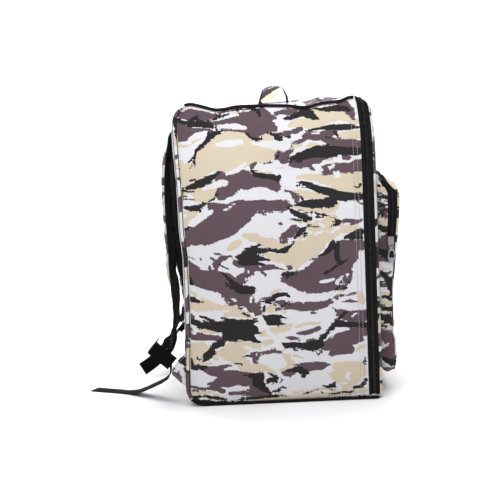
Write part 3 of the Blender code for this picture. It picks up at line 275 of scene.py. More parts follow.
WHITE_MARKS = (
    ((-102, 458, 1.3), (-84, 462, 2.6), (-63, 461, 3.6), (-47, 457, 2.6)),
    ((-103, 471, 1.6), (-92, 474, 2.1), (-76, 476, 2.3), (-59, 479, 2)),
    ((-137, 443, 3.3), (-124, 449, 4.9), (-111, 452, 4.1)), ((-149, 437, 3.3), (-137, 437, 2.5)),
    ((-158, 422, 3.3), (-146, 424, 5.7), (-135, 427, 4.1)), ((-148, 416, 4.1), (-144, 413, 2.5)),
    ((-94, 432, 3), (-76, 433, 5.7), (-56, 435, 4.9)),
    ((-37, 434, 2.5), (-21, 430, 4.9), (0, 428, 7.4), (20, 427, 6.6)),
    ((17, 432, 2.5), (30, 438, 4.9), (41, 440, 4.1)), ((59, 444, 1.6), (72, 444, 2)),
    ((47, 427, 3.3), (54, 430, 3.3)), ((75, 428, 4.1), (80, 426, 3.3)),
    ((26, 410, 2.5), (36, 416, 4.9), (47, 421, 3.3)), ((62, 391, 2.5), (76, 394, 2.5)),
    ((88, 387, 2.5), (95, 390, 2.5)), ((82, 395, 1.6), (102, 397, 2), (121, 395, 2), (126, 400, 2.5)),
    ((-81, 384, 1.6), (-71, 387, 4.1), (-58, 393, 3.3), (-50, 399, 2.5)),
    ((-118, 363, 4.1), (-103, 366, 4.9), (-89, 370, 5.2), (-82, 370, 4.1)),
    ((-103, 340, 1.6), (-90, 339, 2.3), (-77, 343, 3.3), (-64, 344, 2), (-52, 347, 4.9),
     (-40, 351, 7.4), (-24, 352, 9), (-3, 345, 6.6), (17, 344, 5.7), (24, 336, 4.1)),
    ((-65, 351, 1.1), (-64, 346, 1.1)), ((-58, 352, 1.1), (-60, 346, 1.3)),
    ((-44, 348, 4.9), (-19, 347, 6.6)), ((-87, 326, 1.6), (-79, 329, 2), (-71, 335, 1)),
    ((-138, 302, 1.6), (-127, 313, 4.9), (-119, 321, 5.7), (-107, 325, 2.5)),
    ((-153, 317, 2.5), (-150, 324, 1.6)), ((104, 314, 8.2), (115, 317, 13.1), (133, 313, 12.3)),
    ((110, 294, 2.1), (116, 294, 2.1)), ((56, 300, 2), (57, 301, 1.6)), ((66, 298, 1.3), (75, 292, 2)),
    ((60, 280, 2.5), (72, 284, 2)), ((88, 282, 2.5), (95, 288, 2.5), (100, 288, 2.5)),
    ((101, 276, 1.6), (94, 269, 2.5)), ((80, 284, 1.6), (81, 282, 1.3)), ((43, 274, 2), (38, 271, 1.6)),
    ((98, 376, 4.9), (101, 375, 4.9)), ((-150, 248, 1.6), (-139, 241, 2.5), (-131, 235, 2)),
    ((-130, 230, 1.6), (-125, 231, 1.6)), ((-113, 236, 1.6), (-110, 230, 2)),
    ((-81, 243, 4.9), (-88, 235, 4.1), (-79, 230, 5.7), (-69, 223, 5.7), (-61, 226, 3.3)),
    ((-95, 231, 1.3), (-85, 225, 1.6)), ((-56, 211, 1.6), (-46, 212, 3.3), (-36, 213, 2.5)),
    ((-41, 192, 8.2), (-29, 196, 14.8), (-17, 202, 13.1), (-7, 198, 6.6)),
    ((-48, 179, 2.5), (-51, 174, 2.5)), ((-41, 182, 4.9), (-40, 172, 2.5)),
    ((-20, 216, 2.5), (-7, 212, 3.3)), ((1, 200, 2.5), (6, 196, 1.3)),
    ((-16, 220, 2), (-3, 220, 2.1), (8, 219, 1.6)), ((-32, 230, 1.6), (-31, 229, 1.3)),
    ((-6, 232, 2.5), (2, 231, 3.8), (12, 224, 2)),
    ((30, 222, 2.5), (38, 226, 3.3), (47, 233, 3.3), (52, 234, 1.1)),
    ((5, 190, 2), (19, 187, 3.3), (26, 179, 7.4), (36, 175, 6.6), (51, 176, 4.6), (68, 175, 4.3),
     (84, 178, 3.3)), ((36, 167, 1.6), (36, 170, 3.3)), ((65, 200, 2), (78, 201, 3), (88, 204, 2.5)),
    ((134, 245, 4.1), (136, 234, 4.9), (132, 226, 7.4), (132, 209, 8.2), (129, 196, 8.2),
     (119, 186, 4.9), (107, 180, 3.3)), ((112, 210, 2.5), (112, 208, 2.1)),
    ((119, 219, 1.6), (127, 216, 2)), ((95, 189, 1), (89, 181, 1.6)), ((84, 171, 1.6), (91, 167, 3)),
    ((80, 161, 1.3), (97, 159, 5.7), (113, 158, 5.7), (127, 159, 4.1), (140, 155, 2.5)),
    ((99, 170, 1.3), (109, 173, 1.3), (124, 173, 1.3)), ((78, 151, 1.3), (88, 146, 2)),
    ((116, 141, 1.6), (123, 145, 1.6)),
    ((80, 106, 1.6), (84, 113, 2.5), (89, 117, 3), (99, 119, 2.8), (109, 120, 1.6)),
    ((-149, 128, 1.6), (-145, 124, 2.5), (-150, 123, 1.6)),
    ((-98, 60, 1.3), (-90, 62, 3.3), (-78, 61, 2.5)),
    ((-96, 24, 1.3), (-86, 27, 3.3), (-74, 27, 4.6), (-61, 28, 3)), ((-92, 14, 1.6), (-78, 14, 1.6)),
    ((-151, 54, 6.6), (-147, 45, 9.8), (-139, 40, 8.2), (-130, 43, 4.1), (-120, 42, 1.6)),
    ((-115, 23, 1.6), (-110, 21, 1.3)), ((-44, 85, 1.3), (-44, 84, 1.3)),
    ((-119, 78, 2.5), (-112, 72, 4.1), (-102, 72, 3.6), (-89, 73, 1.6)),
    ((-107, 81, 2.5), (-97, 80, 1.6)), ((-63, 97, 2.5), (-52, 93, 2.5), (-42, 91, 1.6)),
    ((-25, 129, 1.6), (-24, 119, 3.3), (-14, 115, 3.3), (-10, 105, 4.1)),
    ((-31, 75, 6.6), (-18, 72, 10.7), (-6, 64, 6.6), (2, 62, 2.5)),
    ((9, 77, 1.6), (22, 73, 2), (37, 71, 2.5)), ((108, 46, 2.5), (104, 39, 3.3), (109, 34, 2)),
    ((94, 28, 1.6), (104, 28, 1.6)),
    ((-112, 160, 2.5), (-102, 154, 5.7), (-105, 148, 4.1), (-109, 143, 2.5), (-102, 141, 1.3)),
    ((-95, 159, 2.5), (-87, 159, 1.6)),
    ((-148, 198, 2.5), (-136, 192, 3.3), (-120, 183, 4.9), (-107, 178, 6.6), (-98, 176, 4.1),
     (-96, 171, 2.5)), ((-125, 180, 1.3), (-120, 180, 1.3)), ((-94, 179, 1.3), (-94, 181, 1.3)),
    ((-88, 175, 1.1), (-88, 174, 1.1)), ((27, 108, 1.3), (37, 108, 1.6), (47, 109, 1.3)),
    ((136, 105, 1.6), (138, 100, 2.1)), ((1, 86, 1.6), (28, 85, 4.1), (48, 82, 2.5)),
)
BLACK_MARKS = (
    # The first three black marks run along the bottom edge: partly print, partly painted shade where the
    # bag meets the floor.
    ((-150, 14, 3.5), (-143, 6, 5.0), (-122, 3, 5.5), (-100, 2, 5.0), (-80, 3, 3.0), (-62, 6, 1.8)),
    ((-76, 9, 2.2), (-42, 10, 2.4), (-14, 13, 2.0)), ((58, 1, 2.2), (100, 2, 3.0), (142, 3, 3.4)),
    ((-158, 475, 2.5), (-149, 471, 3.3), (-136, 467, 4.9), (-120, 467, 5.9), (-107, 466, 6.2),
     (-97, 461, 2.5), (-91, 461, 1.1)), ((-136, 472, 3.3), (-126, 478, 2.5), (-122, 481, 1.1)),
    ((-126, 475, 1.6), (-119, 476, 1)), ((-155, 476, 1.6), (-150, 478, 0.8)),
    ((-98, 474, 2), (-90, 477, 2.5), (-80, 479, 2.5), (-67, 484, 1.6), (-51, 488, 1.6), (-38, 490, 3.6),
     (-26, 485, 4.1), (-22, 477, 2), (-24, 474, 0.8)),
    ((-85, 454, 1.6), (-98, 450, 4.9), (-106, 444, 4.9), (-113, 436, 3), (-123, 428, 3.3),
     (-128, 424, 2.5), (-131, 412, 2), (-132, 393, 0.8)), ((-132, 414, 2), (-142, 405, 1)),
    ((-131, 412, 1.6), (-139, 396, 1)), ((-106, 452, 2.5), (-109, 445, 2)),
    ((-46, 449, 1.3), (-38, 441, 2), (-29, 437, 3.3), (-22, 438, 2.5), (-20, 443, 1.3)),
    ((-13, 448, 1.1), (-1, 445, 2.5), (4, 440, 4.9), (9, 437, 4.1)), ((3, 445, 1.6), (12, 445, 1.1)),
    ((6, 439, 1.6), (25, 439, 1.5)),
    ((15, 469, 1.6), (26, 470, 3.3), (38, 474, 4.9), (48, 479, 7.4), (59, 475, 7.4), (65, 470, 4.9),
     (73, 467, 1.3)), ((43, 484, 4.9), (53, 482, 4.9)),
    ((63, 485, 1.6), (79, 482, 3.3), (100, 483, 5.6), (116, 481, 4.3), (124, 479, 2.5)),
    ((48, 447, 1.3), (61, 449, 2), (78, 452, 2.6), (99, 452, 5.2), (115, 452, 5.4), (128, 451, 4.3),
     (141, 451, 1.3)), ((98, 444, 2.5), (103, 438, 1.6)),
    ((82, 437, 1.1), (93, 435, 1.6), (109, 433, 1)),
    ((24, 404, 3.3), (35, 407, 5.7), (52, 411, 8.2), (70, 415, 9), (89, 416, 8.2), (114, 413, 6.6),
     (130, 412, 6.6), (140, 412, 5.7)), ((25, 399, 1.6), (25, 402, 1.6)), ((33, 400, 2), (42, 400, 2)),
    ((76, 410, 6.6), (99, 407, 3.3)),
    ((-40, 389, 1.6), (-34, 381, 4.1), (-18, 378, 3.9), (-5, 376, 4.9), (3, 371, 4.1), (5, 376, 3.3)),
    ((-39, 387, 2.5), (-31, 388, 0.8)),
    ((6, 414, 0.7), (-1, 403, 1.1), (-9, 399, 1.3), (-22, 398, 0.8)),
    ((-146, 364, 3.3), (-136, 367, 4.9), (-124, 370, 7.4), (-111, 376, 6.6), (-101, 382, 4.1),
     (-93, 388, 2)), ((-141, 375, 1.6), (-132, 378, 1.6)),
    ((-153, 363, 2.5), (-155, 352, 2.1), (-155, 342, 1.6)), ((-154, 360, 2.5), (-135, 357, 1)),
    ((-153, 347, 1.6), (-136, 344, 1.3)), ((-153, 351, 1), (-147, 350, 0.8)),
    ((-154, 332, 2), (-143, 331, 4.4), (-130, 331, 5.2), (-121, 335, 3), (-110, 340, 1.6),
     (-104, 344, 1.6), (-99, 351, 1.6), (-94, 352, 0.8)), ((-127, 326, 2.5), (-133, 328, 2.5)),
    ((-158, 296, 2.5), (-149, 297, 1.6), (-144, 299, 0.8)),
    ((42, 366, 2.5), (48, 362, 4.9), (63, 355, 5.7), (84, 348, 6.6), (106, 340, 8.2), (123, 339, 6.6),
     (139, 337, 5.7)), ((35, 366, 1.6), (40, 364, 1.6)), ((33, 360, 1.6), (43, 358, 1.3)),
    ((29, 329, 1.6), (41, 330, 5.2), (57, 329, 7.4), (73, 329, 7.4), (90, 329, 6.6), (96, 329, 4.1)),
    ((38, 342, 1.6), (42, 338, 2.5)), ((80, 336, 3.3), (96, 337, 4.9)),
    ((17, 326, 2.5), (24, 319, 4.1), (35, 312, 4.9), (46, 308, 4.9), (54, 305, 2.5)),
    ((18, 306, 1.6), (33, 304, 1.6), (48, 302, 1.6)),
    ((42, 315, 1.6), (58, 316, 1.3), (73, 311, 1.6), (87, 307, 1.3)),
    ((46, 310, 1.6), (66, 308, 1.3), (74, 305, 0.7)), ((32, 321, 0.8), (42, 320, 1)),
    ((67, 291, 1), (49, 294, 1.6), (39, 287, 4.9), (34, 283, 4.9), (27, 275, 2.5), (25, 272, 1)),
    ((44, 281, 3.3), (42, 276, 1.6)), ((25, 268, 1.6), (16, 260, 2.5), (11, 256, 2.5)),
    ((-27, 271, 1), (-36, 264, 3), (-44, 260, 4.1), (-51, 258, 2.5)), ((-24, 269, 1), (-31, 266, 1)),
    ((94, 303, 1.6), (98, 300, 3.3), (103, 299, 2)), ((98, 296, 4.1), (92, 293, 2.5), (85, 290, 1)),
    ((87, 300, 0.8), (93, 298, 1.1)), ((109, 271, 2.5), (122, 276, 4.9), (135, 280, 6.6)),
    ((120, 269, 2.5), (135, 272, 4.9)),
    ((89, 264, 4.9), (82, 253, 4.6), (72, 246, 2.5), (58, 240, 1.3), (50, 237, 0.8)),
    ((95, 262, 4.9), (95, 252, 4.1), (95, 239, 4.6), (99, 229, 3.3), (109, 233, 1.6), (116, 238, 0.8)),
    ((92, 224, 3), (82, 218, 2), (76, 215, 3), (71, 212, 1)),
    ((102, 205, 0.8), (100, 197, 1.6), (93, 187, 1.6), (88, 183, 1.3)),
    ((113, 198, 1.6), (110, 192, 2.5), (101, 187, 1.6)),
    ((128, 354, 1.3), (134, 352, 1.6), (138, 358, 2.5)),
    ((-71, 248, 2.5), (-60, 247, 8.2), (-48, 248, 11.5), (-40, 245, 8.2), (-29, 243, 3.3),
     (-16, 240, 1)), ((-65, 239, 4.1), (-49, 237, 4.1), (-35, 236, 3.3), (-24, 233, 1.1)),
    ((-53, 258, 4.9), (-41, 258, 7.4), (-28, 256, 3.8), (-12, 257, 2.6), (1, 254, 4.1), (10, 256, 4.9),
     (15, 260, 3.3)), ((-100, 237, 1.1), (-92, 232, 1.1), (-84, 228, 1)),
    ((-97, 224, 1.1), (-86, 214, 2.1), (-78, 203, 5.7), (-67, 194, 7.4), (-54, 192, 7.4),
     (-47, 192, 6.6)), ((-90, 205, 1.6), (-82, 197, 2.5)), ((-47, 197, 1), (-44, 193, 0.8)),
    ((-47, 187, 1), (-44, 185, 0.8)), ((-152, 220, 2.5), (-149, 211, 4.1), (-146, 206, 3.3)),
    ((-153, 182, 3.3), (-145, 180, 4.9), (-137, 176, 3.3), (-129, 174, 1.3)),
    ((-13, 177, 4.1), (-6, 182, 4.6), (2, 183, 3.3), (10, 183, 2.1), (13, 178, 2.5)),
    ((-32, 173, 1.6), (-22, 171, 4.1), (-15, 174, 4.9)), ((-29, 164, 3), (-29, 156, 2)),
    ((-19, 169, 2.5), (-9, 165, 1.1)), ((11, 171, 1.6), (3, 163, 1.6), (-1, 161, 1)),
    ((14, 168, 1.1), (8, 159, 1.3)), ((21, 217, 3.3), (11, 216, 4.1), (2, 216, 1.3)),
    ((11, 211, 2), (30, 218, 1)), ((-31, 148, 1.6), (-25, 144, 4.9), (-11, 144, 5.7), (-1, 145, 4.1)),
    ((-23, 136, 4.1), (-7, 135, 4.1), (6, 133, 1.6)), ((2, 143, 1.6), (9, 143, 1.3)),
    ((-137, 152, 1.3), (-124, 147, 2.5), (-112, 141, 3.3)),
    ((-99, 147, 1.6), (-86, 142, 4.9), (-69, 139, 4.9), (-53, 139, 4.9), (-40, 140, 1.3)),
    ((-149, 143, 4.9), (-136, 137, 5.7), (-119, 133, 6.6), (-100, 132, 9.8), (-78, 130, 13.1),
     (-60, 129, 13.1), (-47, 125, 8.2)),
    ((-90, 117, 9.8), (-70, 119, 11.5), (-54, 115, 8.2), (-46, 108, 3.3), (-35, 103, 1.1)),
    ((-101, 106, 6.6), (-111, 103, 5.7), (-118, 95, 5.7)), ((-39, 120, 1.6), (-32, 119, 1.3)),
    ((-46, 145, 1.6), (-39, 145, 1.1)), ((-118, 91, 6.6), (-128, 83, 6.6), (-132, 77, 2.5)),
    ((-143, 82, 1.3), (-139, 79, 1.6)),
    ((-154, 78, 3.3), (-151, 67, 4.9), (-139, 65, 4.9), (-129, 65, 2.5)),
    ((-67, 79, 1.3), (-62, 82, 2), (-57, 83, 3.3)), ((-70, 163, 2), (-65, 161, 2)),
    ((-64, 154, 1.3), (-57, 151, 1.6), (-52, 150, 1.6)), ((-84, 68, 0.8), (-78, 69, 1.6), (-69, 68, 1)),
    ((-68, 50, 1), (-60, 48, 1.6), (-50, 48, 5.7), (-40, 47, 7.4), (-44, 37, 9.8), (-36, 27, 6.6),
     (-28, 21, 3.3), (-22, 16, 1.6)), ((-37, 54, 1.6), (-36, 40, 1.6)),
    ((-28, 52, 1.3), (-20, 48, 2.5), (-12, 42, 3.3)), ((-27, 38, 4.1), (-21, 39, 4.9), (-14, 37, 3.3)),
    ((-21, 31, 1.6), (-18, 33, 1.3)), ((-20, 19, 1.6), (-11, 20, 2.5), (-8, 24, 2.5), (1, 25, 0.8)),
    ((-33, 11, 2), (-17, 11, 1.6), (3, 11, 1.1)),
    ((-1, 101, 1.3), (5, 97, 4.6), (20, 97, 5.7), (37, 94, 6.6), (53, 95, 9.8), (62, 98, 6.6)),
    ((18, 88, 1.6), (23, 88, 1.6)), ((58, 87, 2.5), (64, 83, 1.6)),
    ((58, 99, 6.6), (67, 108, 4.9), (75, 116, 3.3), (82, 124, 4.1), (91, 132, 5.7), (104, 128, 4.6),
     (121, 126, 4.1), (139, 125, 3.3)), ((96, 139, 3.3), (103, 145, 2.5), (108, 148, 1.6)),
    ((17, 63, 1), (24, 63, 2)),
    ((2, 54, 1.6), (12, 55, 3), (23, 56, 5.7), (32, 51, 5.7), (43, 47, 1.3)),
    ((31, 44, 3.3), (33, 42, 2.5)),
    ((64, 26, 1.3), (72, 23, 2.5), (81, 25, 3.6), (84, 31, 1.6), (88, 33, 1)),
    ((80, 22, 1.6), (95, 22, 0.8)), ((75, 18, 1.1), (89, 18, 0.8)),
    ((115, 20, 1.6), (125, 21, 3.3), (132, 26, 4.1), (136, 33, 3.3)), ((132, 61, 1.1), (137, 70, 1.3)),
    ((135, 55, 1.1), (137, 63, 1.6)), ((30, 13, 1.3), (42, 16, 1.3), (55, 19, 1)),
    ((59, 16, 1.3), (62, 14, 1.6)), ((75, 10, 2), (92, 12, 2), (109, 12, 2), (115, 15, 1.6)),
    ((-155, 15, 2.5), (-133, 17, 2.5), (-122, 13, 3.3), (-95, 10, 1.6)),
)


# Numbers and shapes

def curve(xs, ys, way, keys):
    """Cubic curve through points with a given slope at each."""
    k = np.clip(np.searchsorted(xs, keys, side="right") - 1, 0, len(xs) - 2)
    h = xs[k + 1] - xs[k]
    t = (keys - xs[k]) / h
    return (ys[k] * (1 + 2 * t) * (1 - t) ** 2 + ys[k + 1] * t * t * (3 - 2 * t)
            + way[k] * h * t * (1 - t) ** 2 - way[k + 1] * h * t * t * (1 - t))


def smooth(table, keys, col=1):
    """Read a column of a table at many keys along a smooth curve through its rows."""
    xs = np.array([row[0] for row in table], float)
    ys = np.array([row[col] for row in table], float)
    keys = np.clip(np.asarray(keys, float), xs[0], xs[-1])
    step = np.diff(xs)
    slope = np.diff(ys) / step
    way = np.zeros(len(xs))
    way[0], way[-1] = slope[0], slope[-1]
    same = slope[:-1] * slope[1:] > 0
    mean = 2 * slope[:-1] * slope[1:] / np.where(same, slope[:-1] + slope[1:], 1.0)
    way[1:-1] = np.where(same, mean, 0.0)
    return curve(xs, ys, way, keys)


def ease(low, high, value):
    share = np.clip((np.asarray(value, float) - low) / (high - low), 0.0, 1.0)
    return share * share * (3 - 2 * share)


def lumps(u, v, seed):
    """Soft noise between -1 and 1, smooth over one unit of u and v."""
    u, v = np.broadcast_arrays(np.asarray(u, float), np.asarray(v, float))
    iu, iv = np.floor(u).astype(int), np.floor(v).astype(int)
    fu, fv = u - iu, v - iv
    fu, fv = fu * fu * (3 - 2 * fu), fv * fv * (3 - 2 * fv)

    def at(a, b):
        mix = (a * 374761393 + b * 668265263 + seed * 974634777) & 0xFFFFFFFF
        mix = ((mix ^ (mix >> 13)) * 1274126177) & 0xFFFFFFFF
        return ((mix ^ (mix >> 16)) & 0xFFFF) / 32767.5 - 1.0

    low = at(iu, iv) * (1 - fu) + at(iu + 1, iv) * fu
    high = at(iu, iv + 1) * (1 - fu) + at(iu + 1, iv + 1) * fu
    return low * (1 - fv) + high * fv


def wrinkle(p):
    """Small folds and dents of the cloth, as shifts of points of the square box bag."""
    x, y, z = p[..., 0], p[..., 1], p[..., 2]
    shift = np.zeros_like(p)
    side = np.clip(np.abs(x) / HALF, 0, 1) ** 10
    inner = ease(-0.150, -0.105, y) * ease(0.165, 0.125, y) * ease(0.0, 0.05, z) * ease(0.495, 0.45, z)
    seed = np.where(x < 0, 0, 40)
    wide = lumps(y / 0.085 + seed, z / 0.11, 3) + 0.5 * lumps(y / 0.045 + seed, z / 0.05, 5)
    folds = lumps((y + 0.25 * z) / 0.030 + seed, (z - 0.3 * y) / 0.12, 9)
    upper = ease(0.30, 0.47, z)
    fine = lumps(y / 0.016 + seed, z / 0.028, 21)
    bulk = 0.0024 * wide * inner + 0.0019 * folds * inner * (0.35 + 0.65 * upper)
    bulk = bulk + 0.00035 * fine * inner
    seam = np.exp(-np.clip(y - ZIP_BACK, 0, 1) / 0.010) * ease(0.02, 0.05, z)
    bulk = bulk + 0.00035 * seam * np.sin(z / 0.0021 + 2.0 * lumps(z / 0.03, 0 * z, 7))
    top_seam = np.exp(-np.clip(TALL - z, 0, 1) / 0.012)
    bulk = bulk + 0.00045 * top_seam * np.sin(y / 0.0026 + 2.5 * lumps(y / 0.03, 0 * y, 8))
    shift[..., 0] = np.sign(x) * side * bulk
    over = ease(0.470, 0.498, z) * ease(1.0, 0.86, np.abs(x) / HALF)
    hump = 0.0018 * lumps(x / 0.06, y / 0.05, 12) + 0.0010 * lumps(x / 0.022, y / 0.030, 13)
    shift[..., 2] = over * hump
    behind = ease(0.150, 0.168, y) * ease(1.0, 0.85, np.abs(x) / HALF) * ease(0.02, 0.08, z)
    shift[..., 1] = behind * 0.0009 * lumps(x / 0.05, z / 0.06, 14)
    return shift


def soft(points):
    """Carry points of the square box bag to the sagging, wrinkled bag."""
    p = np.asarray(points, float)
    x, y, z = p[..., 0], p[..., 1], p[..., 2]
    side = np.minimum(1.0, np.abs(x) / HALF)
    lift = ease(0.28, TALL, z)
    rise = smooth(TOP_RISE, y) * (1 - side * side)
    new_z = z + lift * (smooth(TOP_SAG, y) + rise)
    new_y = y + ease(0.0, 0.13, y) * smooth(BACK_HOLLOW, z) + ease(0.05, 0.13, -y) * smooth(FRONT_LEAN, z)
    along = np.maximum(0.0, 1 - (y / 0.140) ** 2)
    up = np.sin(np.pi * np.clip(z / TALL, 0.0, 1.0))
    crease = np.exp(-(((y - 0.012) / 0.022) ** 2)) * ease(0.26, 0.47, z)
    swell = 0.0045 * along * up - 0.0035 * crease * along
    out = np.stack([x + np.sign(x) * side * swell, new_y, new_z], axis=-1)
    return out + wrinkle(p)


def loop(half, low, top, low_corner, top_corner, counts):
    """Rounded rectangle in X and Z from the bottom left corner: bottom, +X side, top, -X side.

    The counts are the points of the bottom, a low corner, the +X side, a top corner, the top
    and the -X side."""
    n_bottom, n_low, n_right, n_high, n_top, n_left = counts
    runs = []

    def straight(a, b, n):
        t = np.arange(n)[:, None] / n
        runs.append(np.array(a) * (1 - t) + np.array(b) * t)

    def corner(cx, cz, radius, start, n):
        turn = np.radians(start + 90 * np.arange(n) / n)
        runs.append(np.stack([cx + radius * np.cos(turn), cz + radius * np.sin(turn)], -1))

    straight((-half + low_corner, low), (half - low_corner, low), n_bottom)
    corner(half - low_corner, low + low_corner, low_corner, -90, n_low)
    straight((half, low + low_corner), (half, top - top_corner), n_right)
    corner(half - top_corner, top - top_corner, top_corner, 0, n_high)
    straight((half - top_corner, top), (-half + top_corner, top), n_top)
    corner(-half + top_corner, top - top_corner, top_corner, 90, n_high)
    straight((-half, top - top_corner), (-half, low + low_corner), n_left)
    corner(-half + low_corner, low + low_corner, low_corner, 180, n_low)
    return np.concatenate(runs)


def tangents(path):
    path = np.asarray(path, float)
    way = np.gradient(path, axis=0)
    return way / np.linalg.norm(way, axis=1, keepdims=True)


def lengths(path):
    """Length along a path up to each of its points."""
    return np.concatenate([[0], np.cumsum(np.linalg.norm(np.diff(path, axis=0), axis=1))])


def even(path, step, extra=None):
    """Points at an even step along a smooth curve through the given ones."""
    path = np.asarray(path, float)
    table = path if extra is None else np.concatenate([path, np.asarray(extra, float)], 1)
    far = lengths(path)
    keys = np.linspace(0, far[-1], max(3, int(round(far[-1] / step)) + 1))
    return np.stack([curve(far, ys, np.gradient(ys, far), keys) for ys in table.T], -1)


# Meshes

def mesh_piece(name, points, faces, material, body="bag", shade=True):
    mesh = bpy.data.meshes.new(name)
    mesh.from_pydata(np.asarray(points).reshape(-1, 3).tolist(), [], faces)
    mesh.update()
    if shade:
        mesh.polygons.foreach_set("use_smooth", [True] * len(mesh.polygons))
    mesh.materials.append(material)
    made = bpy.data.objects.new(name, mesh)
    bpy.context.scene.collection.objects.link(made)
    if body:
        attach(made, body)
    return made


def grid_faces(rows, cols, wrap=False, first=0):
    j, i = np.meshgrid(np.arange(rows - 1), np.arange(cols if wrap else cols - 1), indexing="ij")
    a = first + j * cols + i
    b = first + j * cols + (i + 1) % cols
    return np.stack([a, b, b + cols, a + cols], -1).reshape(-1, 4).tolist()


def grid_piece(name, points, material, wrap=False, caps=False, body="bag", flip=False):
    rows, cols = points.shape[:2]
    faces = grid_faces(rows, cols, wrap)
    if flip:
        faces = [face[::-1] for face in faces]
    if caps:
        faces.append(list(range(cols))[::-1])
        faces.append([(rows - 1) * cols + i for i in range(cols)])
    return mesh_piece(name, points, faces, material, body)


def sweep_points(path, across, profile):
    """Points of a profile (across, up) carried along a path; across is a way for each point."""
    path = np.asarray(path, float)
    way = tangents(path)
    across = np.broadcast_to(np.asarray(across, float), path.shape)
    across = across - way * np.sum(across * way, 1, keepdims=True)
    across = across / np.linalg.norm(across, axis=1, keepdims=True)
    up = np.cross(way, across)
    profile = np.asarray(profile, float)
    if profile.ndim == 2:
        profile = np.broadcast_to(profile, (len(path),) + profile.shape)
    return (path[:, None] + across[:, None] * profile[..., :1] + up[:, None] * profile[..., 1:2])


def ring_profile(width, thick, sides=8):
    """A flat section with round edges, as of webbing."""
    radius = thick / 2
    flat = width / 2 - radius
    points = []
    for side, start in ((1, -90), (-1, 90)):
        for k in range(sides // 2 + 1):
            turn = math.radians(start + 180 * k / (sides // 2))
            points.append((side * flat + radius * math.cos(turn), radius * math.sin(turn)))
    return points


def tube_piece(name, path, radius, material, sides=10, body="bag"):
    way = tangents(path)
    pick = np.where(np.abs(way[:, :1]) > 0.8, [[0.0, 0.0, 1.0]], [[1.0, 0.0, 0.0]])
    turn = 2 * np.pi * np.arange(sides) / sides
    profile = np.stack([np.cos(turn), np.sin(turn)], -1) * radius
    points = sweep_points(path, pick, profile)
    return grid_piece(name, points, material, True, True, body)


def stitches(name, path, normal, material, length=0.0032, space=0.0012, radius=0.00032, body="bag"):
    """A row of small thread stitches lying on the cloth along a path."""
    path = np.asarray(path, float)
    far = lengths(path)
    count = int(far[-1] / (length + space))
    starts = np.arange(count) * (length + space)
    offsets = np.array([0.0, 0.12, 0.5, 0.88, 1.0]) * length
    sizes = np.array([0.35, 0.9, 1.0, 0.9, 0.35])
    lifts = np.array([-0.5, 0.1, 0.45, 0.1, -0.5]) * radius
    turn = 2 * np.pi * np.arange(6) / 6
    normal = np.broadcast_to(np.asarray(normal, float), path.shape)
    points, faces = [], []
    for s in starts:
        at = s + offsets
        mid = np.stack([np.interp(at, far, path[:, c]) for c in range(3)], -1)
        out = np.stack([np.interp(at, far, normal[:, c]) for c in range(3)], -1)
        way = tangents(mid)
        across = np.cross(way, out)
        thick = sizes[:, None, None] * radius
        ring = (mid[:, None] + out[:, None] * (lifts[:, None, None] + np.sin(turn)[:, None] * thick)
                + across[:, None] * np.cos(turn)[:, None] * thick)
        base = len(points) * 30
        faces.extend(grid_faces(5, 6, True, base))
        points.append(ring.reshape(-1, 3))
    return mesh_piece(name, np.concatenate(points), faces, material, body)


# Cloth simulation of the padded pieces

PADDED = []


def swell(made, fixed, most, pressure=4.0, slack=0.03):
    """Put a padded piece on the list for the simulation; its fixed points are its seams."""
    PADDED.append((made, np.nonzero(np.ravel(fixed))[0].tolist(), most, pressure, slack))


def places(mesh):
    flat = np.empty(len(mesh.vertices) * 3)
    mesh.vertices.foreach_get("co", flat)
    return flat.reshape(-1, 3)


def run_swell(frames=20):
    """Air pressure swells the padded pieces between their seams; then each is made smooth once."""
    scene = bpy.context.scene
    scene.frame_start, scene.frame_end = 1, frames
    for made, fixed, most, pressure, slack in PADDED:
        made.vertex_groups.new(name="seam").add(fixed, 1.0, "REPLACE")
        cloth = made.modifiers.new("cloth", "CLOTH")
        cloth.point_cache.frame_start, cloth.point_cache.frame_end = 1, frames
        cloth.collision_settings.use_collision = False
        settings = cloth.settings
        settings.quality, settings.mass = 6, 0.2
        settings.tension_stiffness, settings.compression_stiffness = 12, 12
        settings.shear_stiffness, settings.bending_stiffness = 4, 0.25
        settings.use_pressure, settings.uniform_pressure_force = True, pressure
        settings.vertex_group_mass, settings.shrink_min = "seam", -slack
        settings.effector_weights.gravity = 0
    for frame in range(1, frames + 1):
        scene.frame_set(frame)
    graph = bpy.context.evaluated_depsgraph_get()
    for made, fixed, most, pressure, slack in PADDED:
        before = places(made.data)
        move = places(made.evaluated_get(graph).data) - before
        far = np.linalg.norm(move, axis=1, keepdims=True)
        after = before + move * np.minimum(1.0, most / np.maximum(far, 1e-9))
        made.data.vertices.foreach_set("co", after.ravel())
    pieces = [row[0] for row in PADDED]
    for made in pieces:
        made.modifiers.clear()
        made.vertex_groups.clear()
        made.modifiers.new("smooth", "SUBSURF").levels = 1
    scene.frame_set(1)
    graph = bpy.context.evaluated_depsgraph_get()
    for made in pieces:
        made.data = bpy.data.meshes.new_from_object(made.evaluated_get(graph))
        made.modifiers.clear()


# Camouflage

def stroke_field(u, v, strokes):
    """How deep each point lies inside the nearest tapered stroke; below zero outside."""
    best = np.full(u.shape, -1.0)
    for stroke in strokes:
        pts = np.array(stroke, float)
        for (ax, ay, ar), (bx, by, br) in zip(pts[:-1], pts[1:]):
            dx, dy = bx - ax, by - ay
            t = np.clip(((u - ax) * dx + (v - ay) * dy) / max(dx * dx + dy * dy, 1e-9), 0, 1)
            far = np.hypot(u - ax - dx * t, v - ay - dy * t)
            best = np.maximum(best, ar + (br - ar) * t - far)
    return best


LAYERS = ("beige", "brown", "white", "black")


def in_metres(marks):
    return [[(a / 1000, b / 1000, r / 1000) for a, b, r in mark] for mark in marks]


